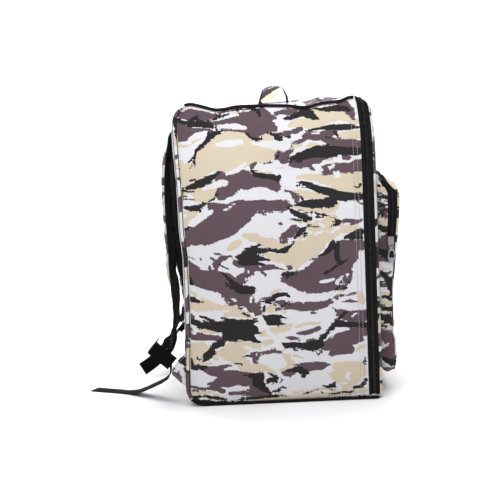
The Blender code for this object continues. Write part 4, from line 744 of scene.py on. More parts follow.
SEEN_SIDE = {"beige": in_metres(BEIGE_MARKS), "brown": in_metres(BROWN_MARKS),
             "white": in_metres(WHITE_MARKS), "black": in_metres(BLACK_MARKS)}


def cut(size=1.0, along=0.0, up=0.0, turned=False):
    """Another piece cut from the same print: scaled, turned upside down and moved."""
    way = -1 if turned else 1
    start = 0.5 if turned else 0.0
    rows = {}
    for layer, marks in SEEN_SIDE.items():
        rows[layer] = []
        for mark in marks:
            rows[layer].append([(along + size * way * a, up + size * (start + way * b), size * r)
                                for a, b, r in mark])
    return rows


def paint(made, u, v, prints, seed):
    """Store the camouflage fields and the flat place of each point of the cloth."""
    mesh = made.data
    u, v = (np.ravel(np.broadcast_to(item, np.broadcast(u, v).shape)) for item in (u, v))
    if isinstance(prints, dict):
        prints = [(np.full(u.shape, True), prints)]
    for layer in LAYERS:
        field = np.full(u.shape, -1.0)
        for where, strokes in prints:
            where = np.ravel(where)
            field[where] = stroke_field(u[where], v[where], strokes[layer])
        item = mesh.attributes.new("camo_" + layer, "FLOAT", "POINT")
        item.data.foreach_set("value", field.astype(np.float32))
    item = mesh.attributes.new("chart", "FLOAT_VECTOR", "POINT")
    flat = np.stack([u, v, np.full(u.shape, seed * 0.37)], -1).astype(np.float32)
    item.data.foreach_set("vector", flat.ravel())


# Materials

def new_material(name):
    made = bpy.data.materials.new(name)
    made.use_nodes = True
    tree = made.node_tree
    return made, tree, tree.nodes["Principled BSDF"]


def srgb(r, g, b):
    out = []
    for value in (r, g, b):
        value = value / 255
        out.append(value / 12.92 if value <= 0.04045 else ((value + 0.055) / 1.055) ** 2.4)
    return (*out, 1.0)


class Nodes:
    """Short ways to add and join shader nodes."""

    def __init__(self, tree):
        self.tree = tree

    def add(self, kind, **values):
        node = self.tree.nodes.new(kind)
        for key, value in values.items():
            setattr(node, key, value)
        return node

    def join(self, a, b):
        self.tree.links.new(a, b)

    def put(self, value, socket):
        if isinstance(value, bpy.types.NodeSocket):
            self.join(value, socket)
        else:
            socket.default_value = value

    def math(self, operation, a, b=0.0):
        node = self.add("ShaderNodeMath", operation=operation)
        self.put(a, node.inputs[0])
        self.put(b, node.inputs[1])
        return node.outputs[0]

    def noise(self, vector, scale, detail=2.0, rough=0.5):
        node = self.add("ShaderNodeTexNoise")
        self.join(vector, node.inputs["Vector"])
        node.inputs["Scale"].default_value = scale
        node.inputs["Detail"].default_value = detail
        node.inputs["Roughness"].default_value = rough
        return node.outputs["Fac"]

    def stretch(self, vector, scale, turn=0.0):
        node = self.add("ShaderNodeMapping")
        self.join(vector, node.inputs["Vector"])
        node.inputs["Scale"].default_value = scale
        node.inputs["Rotation"].default_value = (0.0, 0.0, turn)
        return node.outputs[0]

    def step(self, value, low, high):
        node = self.add("ShaderNodeMapRange", interpolation_type="SMOOTHSTEP")
        self.put(value, node.inputs["Value"])
        node.inputs["From Min"].default_value = low
        node.inputs["From Max"].default_value = high
        return node.outputs["Result"]

    def blend(self, share, a, b):
        node = self.add("ShaderNodeMix", data_type="RGBA")
        self.put(share, node.inputs[0])
        self.put(a, node.inputs[6])
        self.put(b, node.inputs[7])
        return node.outputs[2]

    def shift(self, colour, value):
        node = self.add("ShaderNodeHueSaturation")
        self.put(colour, node.inputs["Color"])
        self.put(value, node.inputs["Value"])
        return node.outputs["Color"]

    def bump(self, height, strength, distance, under=None):
        node = self.add("ShaderNodeBump")
        self.join(height, node.inputs["Height"])
        node.inputs["Strength"].default_value = strength
        node.inputs["Distance"].default_value = distance
        if under is not None:
            self.join(under, node.inputs["Normal"])
        return node.outputs["Normal"]

    def attribute(self, name, output="Fac"):
        node = self.add("ShaderNodeAttribute", attribute_name=name)
        return node.outputs[output]


def weave_height(n, place, pitch):
    """Crossed threads of a plain weave, from places in metres."""
    parts = n.add("ShaderNodeSeparateXYZ")
    n.join(place, parts.inputs[0])
    warp = n.math("SINE", n.math("MULTIPLY", parts.outputs[0], 2 * math.pi / pitch))
    weft = n.math("SINE", n.math("MULTIPLY", parts.outputs[1], 2 * math.pi / pitch))
    return n.math("MULTIPLY", warp, weft)


def camo_cloth(name="camo_cloth_print"):
    made, tree, shader = new_material(name)
    n = Nodes(tree)
    chart = n.attribute("chart", "Vector")

    def uneven(scale, turn, reach):
        cloud = n.noise(n.stretch(chart, scale, turn), 1.0, 1.5, 0.5)
        return n.math("MULTIPLY", n.math("SUBTRACT", cloud, 0.5), reach)

    brushed = n.step(n.noise(n.stretch(chart, (26.0, 38.0, 1.0)), 1.0, 1.0), 0.38, 0.62)
    brushed = n.math("ADD", 0.35, brushed)
    flat_comb = uneven((95.0, 480.0, 1.0), 0.12, 0.0058)
    steep_comb = uneven((400.0, 110.0, 1.0), 0.75, 0.0046)
    comb = n.math("ADD", flat_comb, steep_comb)
    fringe = n.math("MULTIPLY", comb, brushed)
    ragged = n.math("ADD", uneven((60.0, 200.0, 1.0), 0.0, 0.0040), fringe)
    ragged_b = n.math("ADD", uneven((80.0, 300.0, 1.0), -0.1, 0.0030), fringe)
    tone = n.noise(chart, 9.0, 2.0)
    pale = srgb(218, 217, 221)
    colour = pale
    for layer, shade, edge in (("beige", srgb(207, 193, 171), ragged),
                               ("brown", srgb(92, 74, 81), ragged),
                               ("white", pale, ragged_b),
                               ("black", srgb(36, 33, 34), ragged_b)):
        depth = n.math("ADD", n.attribute("camo_" + layer), edge)
        colour = n.blend(n.step(depth, -0.0004, 0.0004), colour, shade)
    value = n.math("ADD", 0.94, n.math("MULTIPLY", tone, 0.12))
    height = weave_height(n, chart, 0.0009)
    # The weave's height also lightens the raised threads and darkens the hollows in the colour: painted
    # shade and highlight of the weave.
    thread = n.math("ADD", value, n.math("MULTIPLY", height, 0.025))
    n.join(n.shift(colour, thread), shader.inputs["Base Color"])
    rough = n.math("ADD", 0.62, n.math("MULTIPLY", n.noise(chart, 40.0, 2.0), 0.2))
    n.join(rough, shader.inputs["Roughness"])
    under = n.bump(n.noise(chart, 900.0, 2.0), 0.25, 0.0002)
    n.join(n.bump(height, 0.35, 0.00025, under), shader.inputs["Normal"])
    shader.inputs["Sheen Weight"].default_value = 0.08
    shader.inputs["Sheen Roughness"].default_value = 0.4
    shader.inputs["Specular IOR Level"].default_value = 0.22
    return made


def dark_cloth(name, colour, pitch=0.0016, rough=0.72, strength=0.5, sheen=0.15, gloss=0.08):
    """Black tape, binding and webbing with cross ribs, from object places."""
    made, tree, shader = new_material(name)
    n = Nodes(tree)
    place = n.add("ShaderNodeTexCoord").outputs["Object"]
    lean = n.add("ShaderNodeMapping")
    n.join(place, lean.inputs["Vector"])
    lean.inputs["Rotation"].default_value = (0.6, 0.5, 0.3)
    parts = n.add("ShaderNodeSeparateXYZ")
    n.join(lean.outputs[0], parts.inputs[0])
    a = n.math("SINE", n.math("MULTIPLY", parts.outputs[0], 2 * math.pi / pitch))
    b = n.math("SINE", n.math("MULTIPLY", parts.outputs[1], 2 * math.pi / pitch))
    c = n.math("SINE", n.math("MULTIPLY", parts.outputs[2], 2 * math.pi / pitch))
    height = n.math("MULTIPLY", n.math("MULTIPLY", a, b), c)
    tone = n.noise(place, 60.0, 3.0)
    value = n.math("ADD", 0.82, n.math("MULTIPLY", tone, 0.36))
    # The ribs' height also lightens their crests and darkens the grooves in the colour: painted shade and
    # highlight of the ribs.
    value = n.math("ADD", value, n.math("MULTIPLY", height, 0.12))
    n.join(n.shift(colour, value), shader.inputs["Base Color"])
    n.join(n.math("ADD", rough - 0.08, n.math("MULTIPLY", tone, 0.16)), shader.inputs["Roughness"])
    n.join(n.bump(height, strength, 0.0003), shader.inputs["Normal"])
    shader.inputs["Sheen Weight"].default_value = sheen
    shader.inputs["Specular IOR Level"].default_value = gloss
    return made


def spacer_mesh(name="black_spacer_mesh"):
    """Air mesh: small round holes in a soft black knit."""
    made, tree, shader = new_material(name)
    n = Nodes(tree)
    place = n.add("ShaderNodeTexCoord").outputs["Object"]
    cells = n.add("ShaderNodeTexVoronoi")
    n.join(n.stretch(place, (1.0, 0.35, 1.0)), cells.inputs["Vector"])
    cells.inputs["Scale"].default_value = 380.0
    cells.inputs["Randomness"].default_value = 0.25
    hole = n.step(cells.outputs["Distance"], 0.18, 0.42)
    tone = n.noise(place, 90.0, 3.0)
    # The holes are painted darker than the knit: painted shade inside the holes.
    colour = n.blend(hole, srgb(5, 5, 6), srgb(24, 24, 26))
    value = n.math("ADD", 0.8, n.math("MULTIPLY", tone, 0.4))
    n.join(n.shift(colour, value), shader.inputs["Base Color"])
    shader.inputs["Roughness"].default_value = 0.85
    n.join(n.bump(hole, 0.7, 0.0006), shader.inputs["Normal"])
    shader.inputs["Sheen Weight"].default_value = 0.06
    shader.inputs["Specular IOR Level"].default_value = 0.15
    return made


def hard(name, colour, rough, metal=0.0, wear=0.15, gloss=0.5):
    made, tree, shader = new_material(name)
    n = Nodes(tree)
    place = n.add("ShaderNodeTexCoord").outputs["Object"]
    tone = n.noise(place, 160.0, 4.0)
    grain = n.noise(place, 1400.0, 2.0)
    worn = n.math("ADD", 1.0 - wear / 2, n.math("MULTIPLY", tone, wear))
    n.join(n.shift(colour, worn), shader.inputs["Base Color"])
    n.join(n.math("ADD", rough - 0.06, n.math("MULTIPLY", tone, 0.16)), shader.inputs["Roughness"])
    n.join(n.bump(grain, 0.15, 0.0001), shader.inputs["Normal"])
    shader.inputs["Metallic"].default_value = metal
    shader.inputs["Specular IOR Level"].default_value = gloss
    return made


CAMO = camo_cloth()
TAPE = dark_cloth("black_zip_tape", srgb(24, 23, 24), 0.0011, 0.8, 0.4, 0.04)
TEETH = hard("black_zip_teeth", srgb(30, 30, 31), 0.34)
BINDING = dark_cloth("black_binding", srgb(21, 20, 21), 0.0014, 0.75, 0.5, 0.04)
WEBBING = dark_cloth("black_webbing_ribbed", srgb(13, 13, 14), 0.0019, 0.7, 0.8, 0.02, 0.04)
MESH = spacer_mesh()
THREAD = dark_cloth("pale_thread", srgb(176, 170, 174), 0.0006, 0.6)
BLACK_THREAD = dark_cloth("black_thread", srgb(38, 36, 37), 0.0006, 0.6)
PLASTIC = hard("black_moulded_plastic", srgb(20, 20, 21), 0.4, gloss=0.3)
METAL = hard("silver_cast_metal", srgb(184, 184, 188), 0.22, 1.0, wear=0.3)
INSERT = hard("black_pull_insert", srgb(16, 16, 17), 0.42, gloss=0.2)


# Camera at the photograph's angle

def add_camera():
    spot, aim = Vector((-1.67, 0.0477, 0.40)), Vector((-0.17, 0.0477, 0.258))
    ahead = (aim - spot).normalized()
    right = ahead.cross(Vector((0, 0, 1))).normalized()
    up = right.cross(ahead)
    roll = math.radians(2.5)
    across = right * math.cos(roll) - up * math.sin(roll)
    upward = up * math.cos(roll) + right * math.sin(roll)
    data = bpy.data.cameras.new("photo_camera")
    data.sensor_width, data.lens, data.clip_start = 36.0, 36 * 916 / 500, 0.05
    made = bpy.data.objects.new("photo_camera", data)
    bpy.context.scene.collection.objects.link(made)
    turn = Matrix((across, upward, -ahead)).transposed().to_4x4()
    made.matrix_world = Matrix.Translation(spot) @ turn
    bpy.context.scene.camera = made


add_camera()


# Shell of the bag

BODY_COUNTS = (44, 4, 90, 4, 76, 240)


def body_loop(inset=0.0, drop=0.0, rise=0.0, counts=BODY_COUNTS):
    corner = max(0.004, TOP_CORNER - inset * 0.2)
    return loop(HALF - inset, rise, TALL - drop, LOW_CORNER, corner, counts)


def body_spans(counts):
    """First and last point of the bag's loop between its two bottom corners."""
    n_bottom, n_low, n_right, n_high, n_top, n_left = counts
    first = n_bottom + n_low
    return first, first + n_right + 2 * n_high + n_top + n_left


# Places of the body's other charts beside the near side's
BACK_CHART, TOP_CHART, FAR_CHART = 0.6, 1.5, 3.0


def body_charts(points, bent):
    """Flat places for the print: near and far side, top and back, each with its own origin."""
    x, y, z = points[..., 0], points[..., 1], points[..., 2]
    u, v = -bent[..., 1], bent[..., 2]
    back = y > 0.1625
    u = np.where(back, BACK_CHART + x, u)
    flat = (np.abs(x) < HALF - 0.006) & ~back
    u = np.where(flat & (z > 0.3), TOP_CHART + x, u)
    v = np.where(flat & (z > 0.3), -y, v)
    far = (x > 0) & ~flat & ~back
    u = np.where(far, FAR_CHART + y, u)
    return u, v


EDGE_PRINT = cut(1.0, -0.195, 0.0, True)


def make_body():
    plain = body_loop()
    rings = []
    front = []
    size = len(plain)
    for x, z in plain:
        above = z > BAND_END
        front.append((x, ZIP_BACK if above else ZIP_FRONT, z))
    rings.append(np.array(front))
    for y in np.linspace(ZIP_BACK, RING_END, 112)[1:]:
        y_row = np.full(size, y)
        low = plain[:, 1] <= BAND_END
        y_row = np.where(low, np.minimum(y_row, 0.2), y_row)
        rings.append(np.stack([plain[:, 0], y_row, plain[:, 1]], -1))
    keys = np.concatenate([np.linspace(0, 3, 16)[1:], np.linspace(3, 7, 20)[1:]])
    for key in keys:
        row = [float(np.interp(key, range(8), [r[c] for r in BACK_ROWS])) for c in range(4)]
        flat = body_loop(row[1], row[2], row[3])
        rings.append(np.stack([flat[:, 0], np.full(size, row[0]), flat[:, 1]], -1))
    edge = rings[-1]
    for t in np.linspace(0, 1, 14)[1:]:
        rings.append(np.stack([edge[:, 0] * (1 - t), edge[:, 1], edge[:, 2]], -1))
    box = np.array(rings)
    bent = soft(box)
    made = grid_piece("body_cloth", bent, CAMO, True, flip=True)
    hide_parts("body_shell")
    u, v = body_charts(box, bent)
    edge = (u < 0.3) & (box[..., 1] > 0.157)
    near, back, top = u < 0.3, (u > 0.3) & (u < 1.0), (u > 1.0) & (u < 2.0)
    paint(made, u, v, [(near & ~edge, SEEN_SIDE), (edge, EDGE_PRINT),
                       (back, cut(1.1, BACK_CHART, -0.02, True)),
                       (top, cut(1.1, TOP_CHART, -0.33, True)),
                       (u > 2.0, cut(1.08, FAR_CHART + 0.003, -0.01))], 1)


make_body()


# Front panel, main zip and piping

FRONT_PRINT_AND_SHADE = cut(1.16, -0.012, -0.03, True)
# Brown and black marks on the front panel's strip beside the zip: partly print, partly painted shade in
# the recess between the zip and the pocket.
FRONT_PRINT_AND_SHADE["brown"].append([(-0.170, 0.236, 0.010), (-0.162, 0.270, 0.013), (-0.160, 0.300, 0.009)])
FRONT_PRINT_AND_SHADE["black"].append([(-0.174, 0.292, 0.007), (-0.160, 0.298, 0.005), (-0.148, 0.310, 0.003)])
FRONT_PRINT_AND_SHADE["black"].append([(-0.174, 0.250, 0.006), (-0.162, 0.246, 0.005)])


def make_front_panel():
    counts = (40, 4, 110, 4, 60, 110)
    rings = []
    for key in np.concatenate([np.linspace(0, 3, 10), np.linspace(3, 5, 10)[1:]]):
        row = [float(np.interp(key, range(6), [r[c] for r in FRONT_ROWS])) for c in range(3)]
        flat = body_loop(row[1], row[2], max(0.0, row[1] - 0.001), counts)
        rings.append(np.stack([flat[:, 0], np.full(len(flat), row[0]), flat[:, 1]], -1))
    edge = rings[-1]
    for t in np.linspace(0, 1, 26)[1:]:
        rings.append(np.stack([edge[:, 0] * (1 - t), edge[:, 1], edge[:, 2]], -1))
    box = np.array(rings)
    made = grid_piece("front_panel_cloth", soft(box), CAMO, True)
    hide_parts("front_panel")
    paint(made, box[..., 0], box[..., 2], FRONT_PRINT_AND_SHADE, 2)


def band_surface(shares, ribs, counts):
    """Rows of the main zip band: share of its width and height over the tape."""
    first, last = body_spans(counts)
    rows = []
    for share, rib in zip(shares, ribs):
        y = ZIP_BACK - GAP + (ZIP_FRONT - ZIP_BACK + GAP) * share
        inset, drop = 0.001 * share, 0.0100 * share * share
        flat = body_loop(inset, drop, 0.0, counts)
        out = loop(HALF - inset + 0.001, 0.0, TALL - drop + 0.001, LOW_CORNER, TOP_CORNER, counts)
        flat = flat + (out - flat) * np.asarray(rib).reshape(-1, 1) * 1000
        flat = flat[first:last + 1]
        box = np.stack([flat[:, 0], np.full(len(flat), y), flat[:, 1]], -1)
        rows.append(soft(box))
    return np.array(rows)


def make_zip_band():
    counts = (8, 12, 330, 12, 220, 330)
    shares = [0.0, 0.03, 0.10, 0.17, 0.22, 0.26, 0.30, 0.33, 0.36, 0.40, 0.44, 0.5,
              0.56, 0.60, 0.64, 0.67, 0.70, 0.74, 0.78, 0.83, 0.90, 0.97, 1.0]
    ribs = [0.0, 0.0008, 0.0011, 0.0012, 0.0011, 0.0008, 0.0002, 0.0001, 0.0001, 0.0001, 0.0004, 0.0005,
            0.0004, 0.0001, 0.0001, 0.0002, 0.0008, 0.0012, 0.0013, 0.0013, 0.0012, 0.0008, 0.0]
    points = band_surface(shares, ribs, counts)
    made = grid_piece("main_zip_tape", points, TAPE)
    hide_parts("main_zip_band")
    make_teeth("main_zip_teeth", points, 11, 0.0023, 0.0027)


def make_teeth(name, points, middle, pitch, reach):
    """Interlocking zip teeth along the middle row of a band."""
    line = points[middle]
    across = points[middle + 2] - points[middle - 2]
    along = np.gradient(line, axis=0)
    out = np.cross(along, across)
    for item in (across, along, out):
        item /= np.linalg.norm(item, axis=1, keepdims=True)
    if out[len(out) // 4][0] * line[len(out) // 4][0] < 0:
        out = -out
    far = lengths(line)
    spots = np.arange(pitch, far[-1] - pitch, pitch)

    def at(table):
        return np.stack([np.interp(spots, far, table[:, c]) for c in range(3)], -1)

    mid, wide, way, up = at(line), at(across), at(along), at(out)
    shape = ((-1, -0.42, 0), (-1, 0.42, 0), (0.35, 0.42, 0), (0.35, -0.42, 0),
             (-0.9, -0.26, 1), (-0.9, 0.26, 1), (0.22, 0.26, 1), (0.22, -0.26, 1))
    quads = ((0, 4, 5, 1), (1, 5, 6, 2), (2, 6, 7, 3), (3, 7, 4, 0), (4, 7, 6, 5))
    hand = 1 if np.dot(np.cross(across[9], along[9]), out[9]) > 0 else -1
    points_all, faces = [], []
    for k in range(len(spots)):
        side = 1 if k % 2 else -1
        base = len(points_all)
        for a, b, c in shape:
            high = 0.0002 + 0.0010 * c
            points_all.append(mid[k] + wide[k] * (a * side * reach) + way[k] * (b * pitch) + up[k] * high)
        faces.extend([tuple(base + i for i in quad[::side * hand]) for quad in quads])
    mesh_piece(name, np.array(points_all), faces, TEETH, "bag", False)


BODY_DEPTHS = (-0.117, -0.079, -0.052, -0.020, 0.000, 0.021, 0.054, 0.088, 0.118)


def piping_runs():
    """Piping along a side panel in the box bag: bottom, back and top runs."""
    reach = PIPING + 0.0006
    low_turn, top_turn = math.radians(-25), math.radians(45)
    low_x = HALF - LOW_CORNER + (LOW_CORNER + reach) * math.cos(low_turn)
    low_z = LOW_CORNER + (LOW_CORNER + reach) * math.sin(low_turn)
    top_x = HALF - TOP_CORNER + (TOP_CORNER + reach) * math.cos(top_turn)
    top_z = TALL - TOP_CORNER + (TOP_CORNER + reach) * math.sin(top_turn)
    side_x = HALF + reach * 0.86
    back_y = SIDE_BACK + reach * 0.5
    bottom = [(low_x, y, low_z) for y in (ZIP_FRONT + 0.002, *BODY_DEPTHS, 0.133)]
    bottom += [(low_x + 0.0004, 0.1475, low_z + 0.0032), (side_x, 0.1560, 0.0125)]
    rise = [(side_x, 0.1560, 0.0125), (side_x, back_y - 0.001, 0.0240)]
    for z in (0.042, 0.080, 0.120, 0.157, 0.200, 0.245, 0.272, 0.300, 0.342, 0.380, 0.407, 0.436):
        rise.append((side_x, back_y, z))
    rise += [(side_x, back_y, 0.4600), (side_x, back_y - 0.001, 0.4740), (side_x, 0.1560, 0.4850)]
    corner = [((side_x + top_x) / 2 + 0.0006, 0.1490, 0.4925), (top_x + 0.0004, 0.1430, top_z - 0.0014)]
    rise += corner
    top = corner[1:] + [(top_x, y, top_z) for y in (0.1350, *reversed(BODY_DEPTHS), -0.1385)]
    return bottom, rise, top


def make_piping():
    for side, sign in (("left", -1), ("right", 1)):
        mirror = np.array([sign, 1, 1])
        for part, run in zip(("bottom", "back", "top"), piping_runs()):
            material = CAMO if part == "back" else BINDING
            path = soft(even(run, 0.004) * mirror)
            made = tube_piece(f"piping_{part}_{side}", path, PIPING, material, 12)
            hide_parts("side_piping_" + side)
            if part != "back":
                continue
            flat = np.array([v.co for v in made.data.vertices])
            paint(made, -flat[:, 1], flat[:, 2], EDGE_PRINT, 3)
            edge = even(run, 0.002) * mirror
            for name, offset in (("a", -1), ("b", 1)):
                seam = soft(edge + np.array([sign * -0.0016, offset * 0.0029, 0.0]))
                tube_piece(f"seam_back_{side}_{name}", seam, SEAM, BLACK_THREAD, 6)


make_front_panel()
make_zip_band()
make_piping()


def side_lines():
    """Two rows of stitches beside the zip on each side panel."""
    for side, sign in (("left", -1), ("right", 1)):
        for k, back in enumerate((0.0065, 0.0130)):
            z = np.linspace(0.012, TALL - 0.022 - back, 240)
            y = np.full(z.shape, ZIP_BACK + back)
            box = np.stack([np.full(z.shape, sign * HALF), y, z], -1)
            path = soft(box) + np.array([sign * 0.0002, 0, 0])
            stitches(f"zip_stitches_{side}_{k}", path, (sign, 0, 0), THREAD, radius=ZIP_STITCH)


side_lines()


# Pocket

POCKET_COUNTS = (50, 8, 130, 10, 60, 130)


def pocket_surface(flat, share, inset=0.0, raised=0.0):
    x, z = flat[..., 0], flat[..., 1]
    share = np.broadcast_to(np.asarray(share, float), x.shape)
    inset = np.broadcast_to(np.asarray(inset, float), x.shape)
    drop, rise = smooth(POCKET_WALL, share), smooth(POCKET_WALL, share, 2)
    high = ease(POCKET_TOP - POCKET_CORNER_TOP - 0.03, POCKET_TOP, z)
    low = 1 - ease(POCKET_LOW, POCKET_LOW + 0.03, z)
    new_z = z - high * drop + low * rise
    mid_z = (POCKET_LOW + POCKET_TOP) / 2
    away = inset - raised
    new_x = x * (1 - away / POCKET_HALF)
    new_z = new_z + (mid_z - new_z) * away / (POCKET_TOP - mid_z)
    depth = smooth(POCKET_DEPTH, np.where(inset < 0.001, z, new_z))
    return np.stack([new_x, PANEL_FACE - GAP - depth * share, new_z], -1)


def pocket_zip_shares(flat):
    turn = ease(POCKET_TOP - POCKET_CORNER_TOP, POCKET_TOP - 0.002, flat[:, 1])
    return 0.50 + (0.08 - 0.50) * turn, 0.88 + (0.46 - 0.88) * turn


def pocket_folds(flat, share, seed):
    """Puckers of the pocket wall and face, in metres outward."""
    far = np.broadcast_to(lengths(flat), share.shape)
    fold = lumps(far / 0.016, share / 0.5, seed) + 0.6 * lumps(far / 0.007, share / 0.8, seed + 1)
    return fold


# Rim of the pocket face: share of the way to the front, inset
FACE_RIM = ((0.0, 0.0), (0.10, 0.0002), (0.35, 0.0004), (0.6, 0.0012), (0.8, 0.0024),
            (0.93, 0.0040), (1.0, 0.0062))
# Middle of the pocket face: inset, share of the depth
FACE_ROWS = ((0.010, 1.045), (0.016, 1.055), (0.026, 1.065), (0.040, 1.07), (0.058, 1.075),
             (0.078, 1.08), (0.10, 1.08), (0.12, 1.08), (0.134, 1.08))
# Brown and black marks of the pocket wall: partly print, partly painted shade of the wall, which faces
# away from the light and lies between puckers.
WALL_BROWN_AND_SHADE = [[(0.168, 0.322, 0.005), (0.185, 0.306, 0.009), (0.205, 0.296, 0.006)],
              [(0.165, 0.262, 0.009), (0.190, 0.255, 0.012), (0.210, 0.262, 0.008)],
              [(0.168, 0.104, 0.010), (0.190, 0.088, 0.013), (0.200, 0.070, 0.010)]]
WALL_BLACK_AND_SHADE = [[(0.165, 0.288, 0.003), (0.180, 0.279, 0.006), (0.195, 0.285, 0.003)],
              [(0.168, 0.242, 0.006), (0.188, 0.235, 0.009), (0.205, 0.243, 0.004)],
              [(0.172, 0.208, 0.003), (0.185, 0.192, 0.007), (0.190, 0.168, 0.004)],
              [(0.172, 0.130, 0.006), (0.190, 0.124, 0.008), (0.205, 0.132, 0.004)],
              [(0.170, 0.060, 0.003), (0.185, 0.052, 0.006), (0.200, 0.055, 0.003)]]


def bm_fill(made, size):
    """Close the last ring of a piece."""
    work = bmesh.new()
    work.from_mesh(made.data)
    work.verts.ensure_lookup_table()
    total = len(work.verts)
    face = work.faces.new([work.verts[total - size + i] for i in range(size)])
    face.smooth = True
    work.to_mesh(made.data)
    work.free()


def make_pocket():
    flat = loop(POCKET_HALF, POCKET_LOW, POCKET_TOP, POCKET_CORNER_LOW, POCKET_CORNER_TOP, POCKET_COUNTS)
    zipped = flat[:, 1] >= POCKET_ZIP_END
    start, end = pocket_zip_shares(flat)
    outer = np.where(zipped, start, 0.88)
    rows = []
    parts = np.linspace(0, 1, 15)
    for part in parts:
        share = outer * part
        fold = pocket_folds(flat, share, 51) * 0.0011 * math.sin(math.pi * part) ** 0.7
        puff = 0.0012 * math.sin(math.pi * part)
        rows.append(pocket_surface(flat, share, 0.0, fold + puff))
    wall = np.array(rows)
    made = grid_piece("pocket_wall_cloth", wall, CAMO, True)
    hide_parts("pocket_gusset")
    u = -wall[..., 1] + np.where(np.abs(wall[..., 0]) < POCKET_HALF - 0.012, wall[..., 0], 0.0)
    upper = wall[..., 2] > 0.19
    high, low = cut(0.62, 0.150, 0.13), cut(0.62, 0.150, -0.06)
    # The wall's print gets the added brown and black marks: partly print, partly painted shade.
    high["brown"] += WALL_BROWN_AND_SHADE
    high["black"] += WALL_BLACK_AND_SHADE
    low["brown"] += WALL_BROWN_AND_SHADE
    low["black"] += WALL_BLACK_AND_SHADE
    paint(made, u, wall[..., 2], [(upper, high), (~upper, low)], 4)

    index = np.nonzero(zipped)[0]
    strip = flat[index]
    fine = even(strip, 0.0016)
    z_start, z_end = pocket_zip_shares(fine)
    shares = [0.0, 0.04, 0.12, 0.2, 0.26, 0.30, 0.36, 0.42, 0.46, 0.5,
              0.54, 0.58, 0.64, 0.70, 0.74, 0.8, 0.88, 0.96, 1.0]
    ribs = [0.0, 0.0006, 0.0008, 0.0008, 0.0006, 0.0001, 0.0, 0.0, 0.0003, 0.0004,
            0.0003, 0.0, 0.0, 0.0001, 0.0006, 0.0008, 0.0008, 0.0006, 0.0]
    band = []
    for share, rib in zip(shares, ribs):
        spread = 0.24 * np.exp(-(((fine[:, 1] - POCKET_TOP + 0.016) / 0.014) ** 2))
        where = z_start + 0.016 - spread * (1 - share) + (z_end - z_start) * share
        band.append(pocket_surface(fine, where, 0.0, rib + 0.0002))
    band = np.array(band)
    made = grid_piece("pocket_zip_tape", band, TAPE)
    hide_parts("pocket_zip_band")
    make_teeth("pocket_zip_teeth", band, 9, 0.0021, 0.0021)

    edge = np.where(zipped, end, 0.88) + 0.016 * 1.8
    rows = []
    for part, inset in FACE_RIM:
        share = edge + (1.03 - edge) * part
        fold = pocket_folds(flat, share, 61) * 0.0008 * part
        rows.append(pocket_surface(flat, share, inset, fold))
    for inset, lift in FACE_ROWS:
        fold = pocket_folds(flat, np.full(len(flat), inset * 12), 63) * 0.0010 * (1 - inset / 0.135)
        point = pocket_surface(flat, lift, inset, 0.0)
        point[:, 1] += fold
        rows.append(point)
    face = np.array(rows)
    made = grid_piece("pocket_face_cloth", face, CAMO, True)
    bm_fill(made, len(flat))
    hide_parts("pocket_face")
    u = face[..., 0] * (1 + (-face[..., 1] - 0.19) * 0.8 / POCKET_HALF)
    paint(made, u, face[..., 2], cut(1.1, 0.0, -0.10), 5)
    path = pocket_surface(flat, 0.02, 0.0, 0.0012)
    tube_piece("pocket_base_binding", np.concatenate([path, path[:1]]), BASE_BINDING, BINDING, 8)


make_pocket()


# Back pad, straps and handle

def make_back_pad():
    keys = np.linspace(-1, 1, 61)
    rows = []
    inner = BACK_FACE + 0.0012
    low, high = PAD_ROWS[0][0], PAD_ROWS[-1][0]
    heights = np.concatenate([np.linspace(low, 0.225, 14), np.linspace(0.225, 0.385, 44)[1:],
                              np.linspace(0.385, high, 14)[1:]])
    groove = 0.45 * np.exp(-(((np.abs(keys) - 0.36) / 0.035) ** 2))
    for z, thick in zip(heights, smooth(PAD_ROWS, heights)):
        rise = thick * (1 - np.abs(keys) ** 6) * (1 - groove) + 0.0006
        face = np.stack([PAD_HALF * keys, inner + rise, np.full(61, z)], -1)
        under = np.stack([PAD_HALF * keys[::-1], np.full(61, inner), np.full(61, z)], -1)
        rows.append(soft(np.concatenate([face, under[1:-1]])))
    made = grid_piece("back_pad_mesh", np.array(rows)[::-1], MESH, True, True)
    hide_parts("back_pad")
    sides = np.concatenate([np.abs(keys) > 0.97, np.full(59, True)])
    seams = np.concatenate([np.abs(np.abs(keys) - 0.36) < 0.02, np.full(59, True)])
    cross = np.abs((heights - 0.3075) % 0.075 - 0.0375) < 0.002
    ends = np.minimum(heights - low, high - heights) < 0.003
    fixed = sides[None, :] | seams[None, :] | cross[:, None] | ends[:, None]
    swell(made, fixed[::-1], 0.004)
    corners = ((-PAD_HALF, low), (PAD_HALF, low), (PAD_HALF, high), (-PAD_HALF, high))
    around = []
    for (ax, az), (bx, bz) in zip(corners, corners[1:] + corners[:1]):
        for t in np.linspace(0, 1, 40)[:-1]:
            around.append((ax + (bx - ax) * t, inner + 0.0012, az + (bz - az) * t))
    around.append(around[0])
    tube_piece("back_pad_binding", soft(np.array(around)), PAD_BINDING, BINDING, 8)


def strap_frames(sign):
    outer = np.array([(sign * r[0], r[1], r[2]) for r in STRAP_ROWS])
    sizes = np.array([(r[3], r[4]) for r in STRAP_ROWS])
    fine = even(outer, 0.0035, sizes)
    path, thick, share = fine[:, :3], fine[:, 3], fine[:, 4]
    way = tangents(path)
    across = np.array([1.0, 0, 0]) - way * way[:, :1]
    across /= np.linalg.norm(across, axis=1, keepdims=True)
    up = np.cross(across, way)
    up = np.where(up[:, 1:2] < 0, -up, up)
    return path - up * thick[:, None] / 2, across, up, thick, share * STRAP_WIDTH


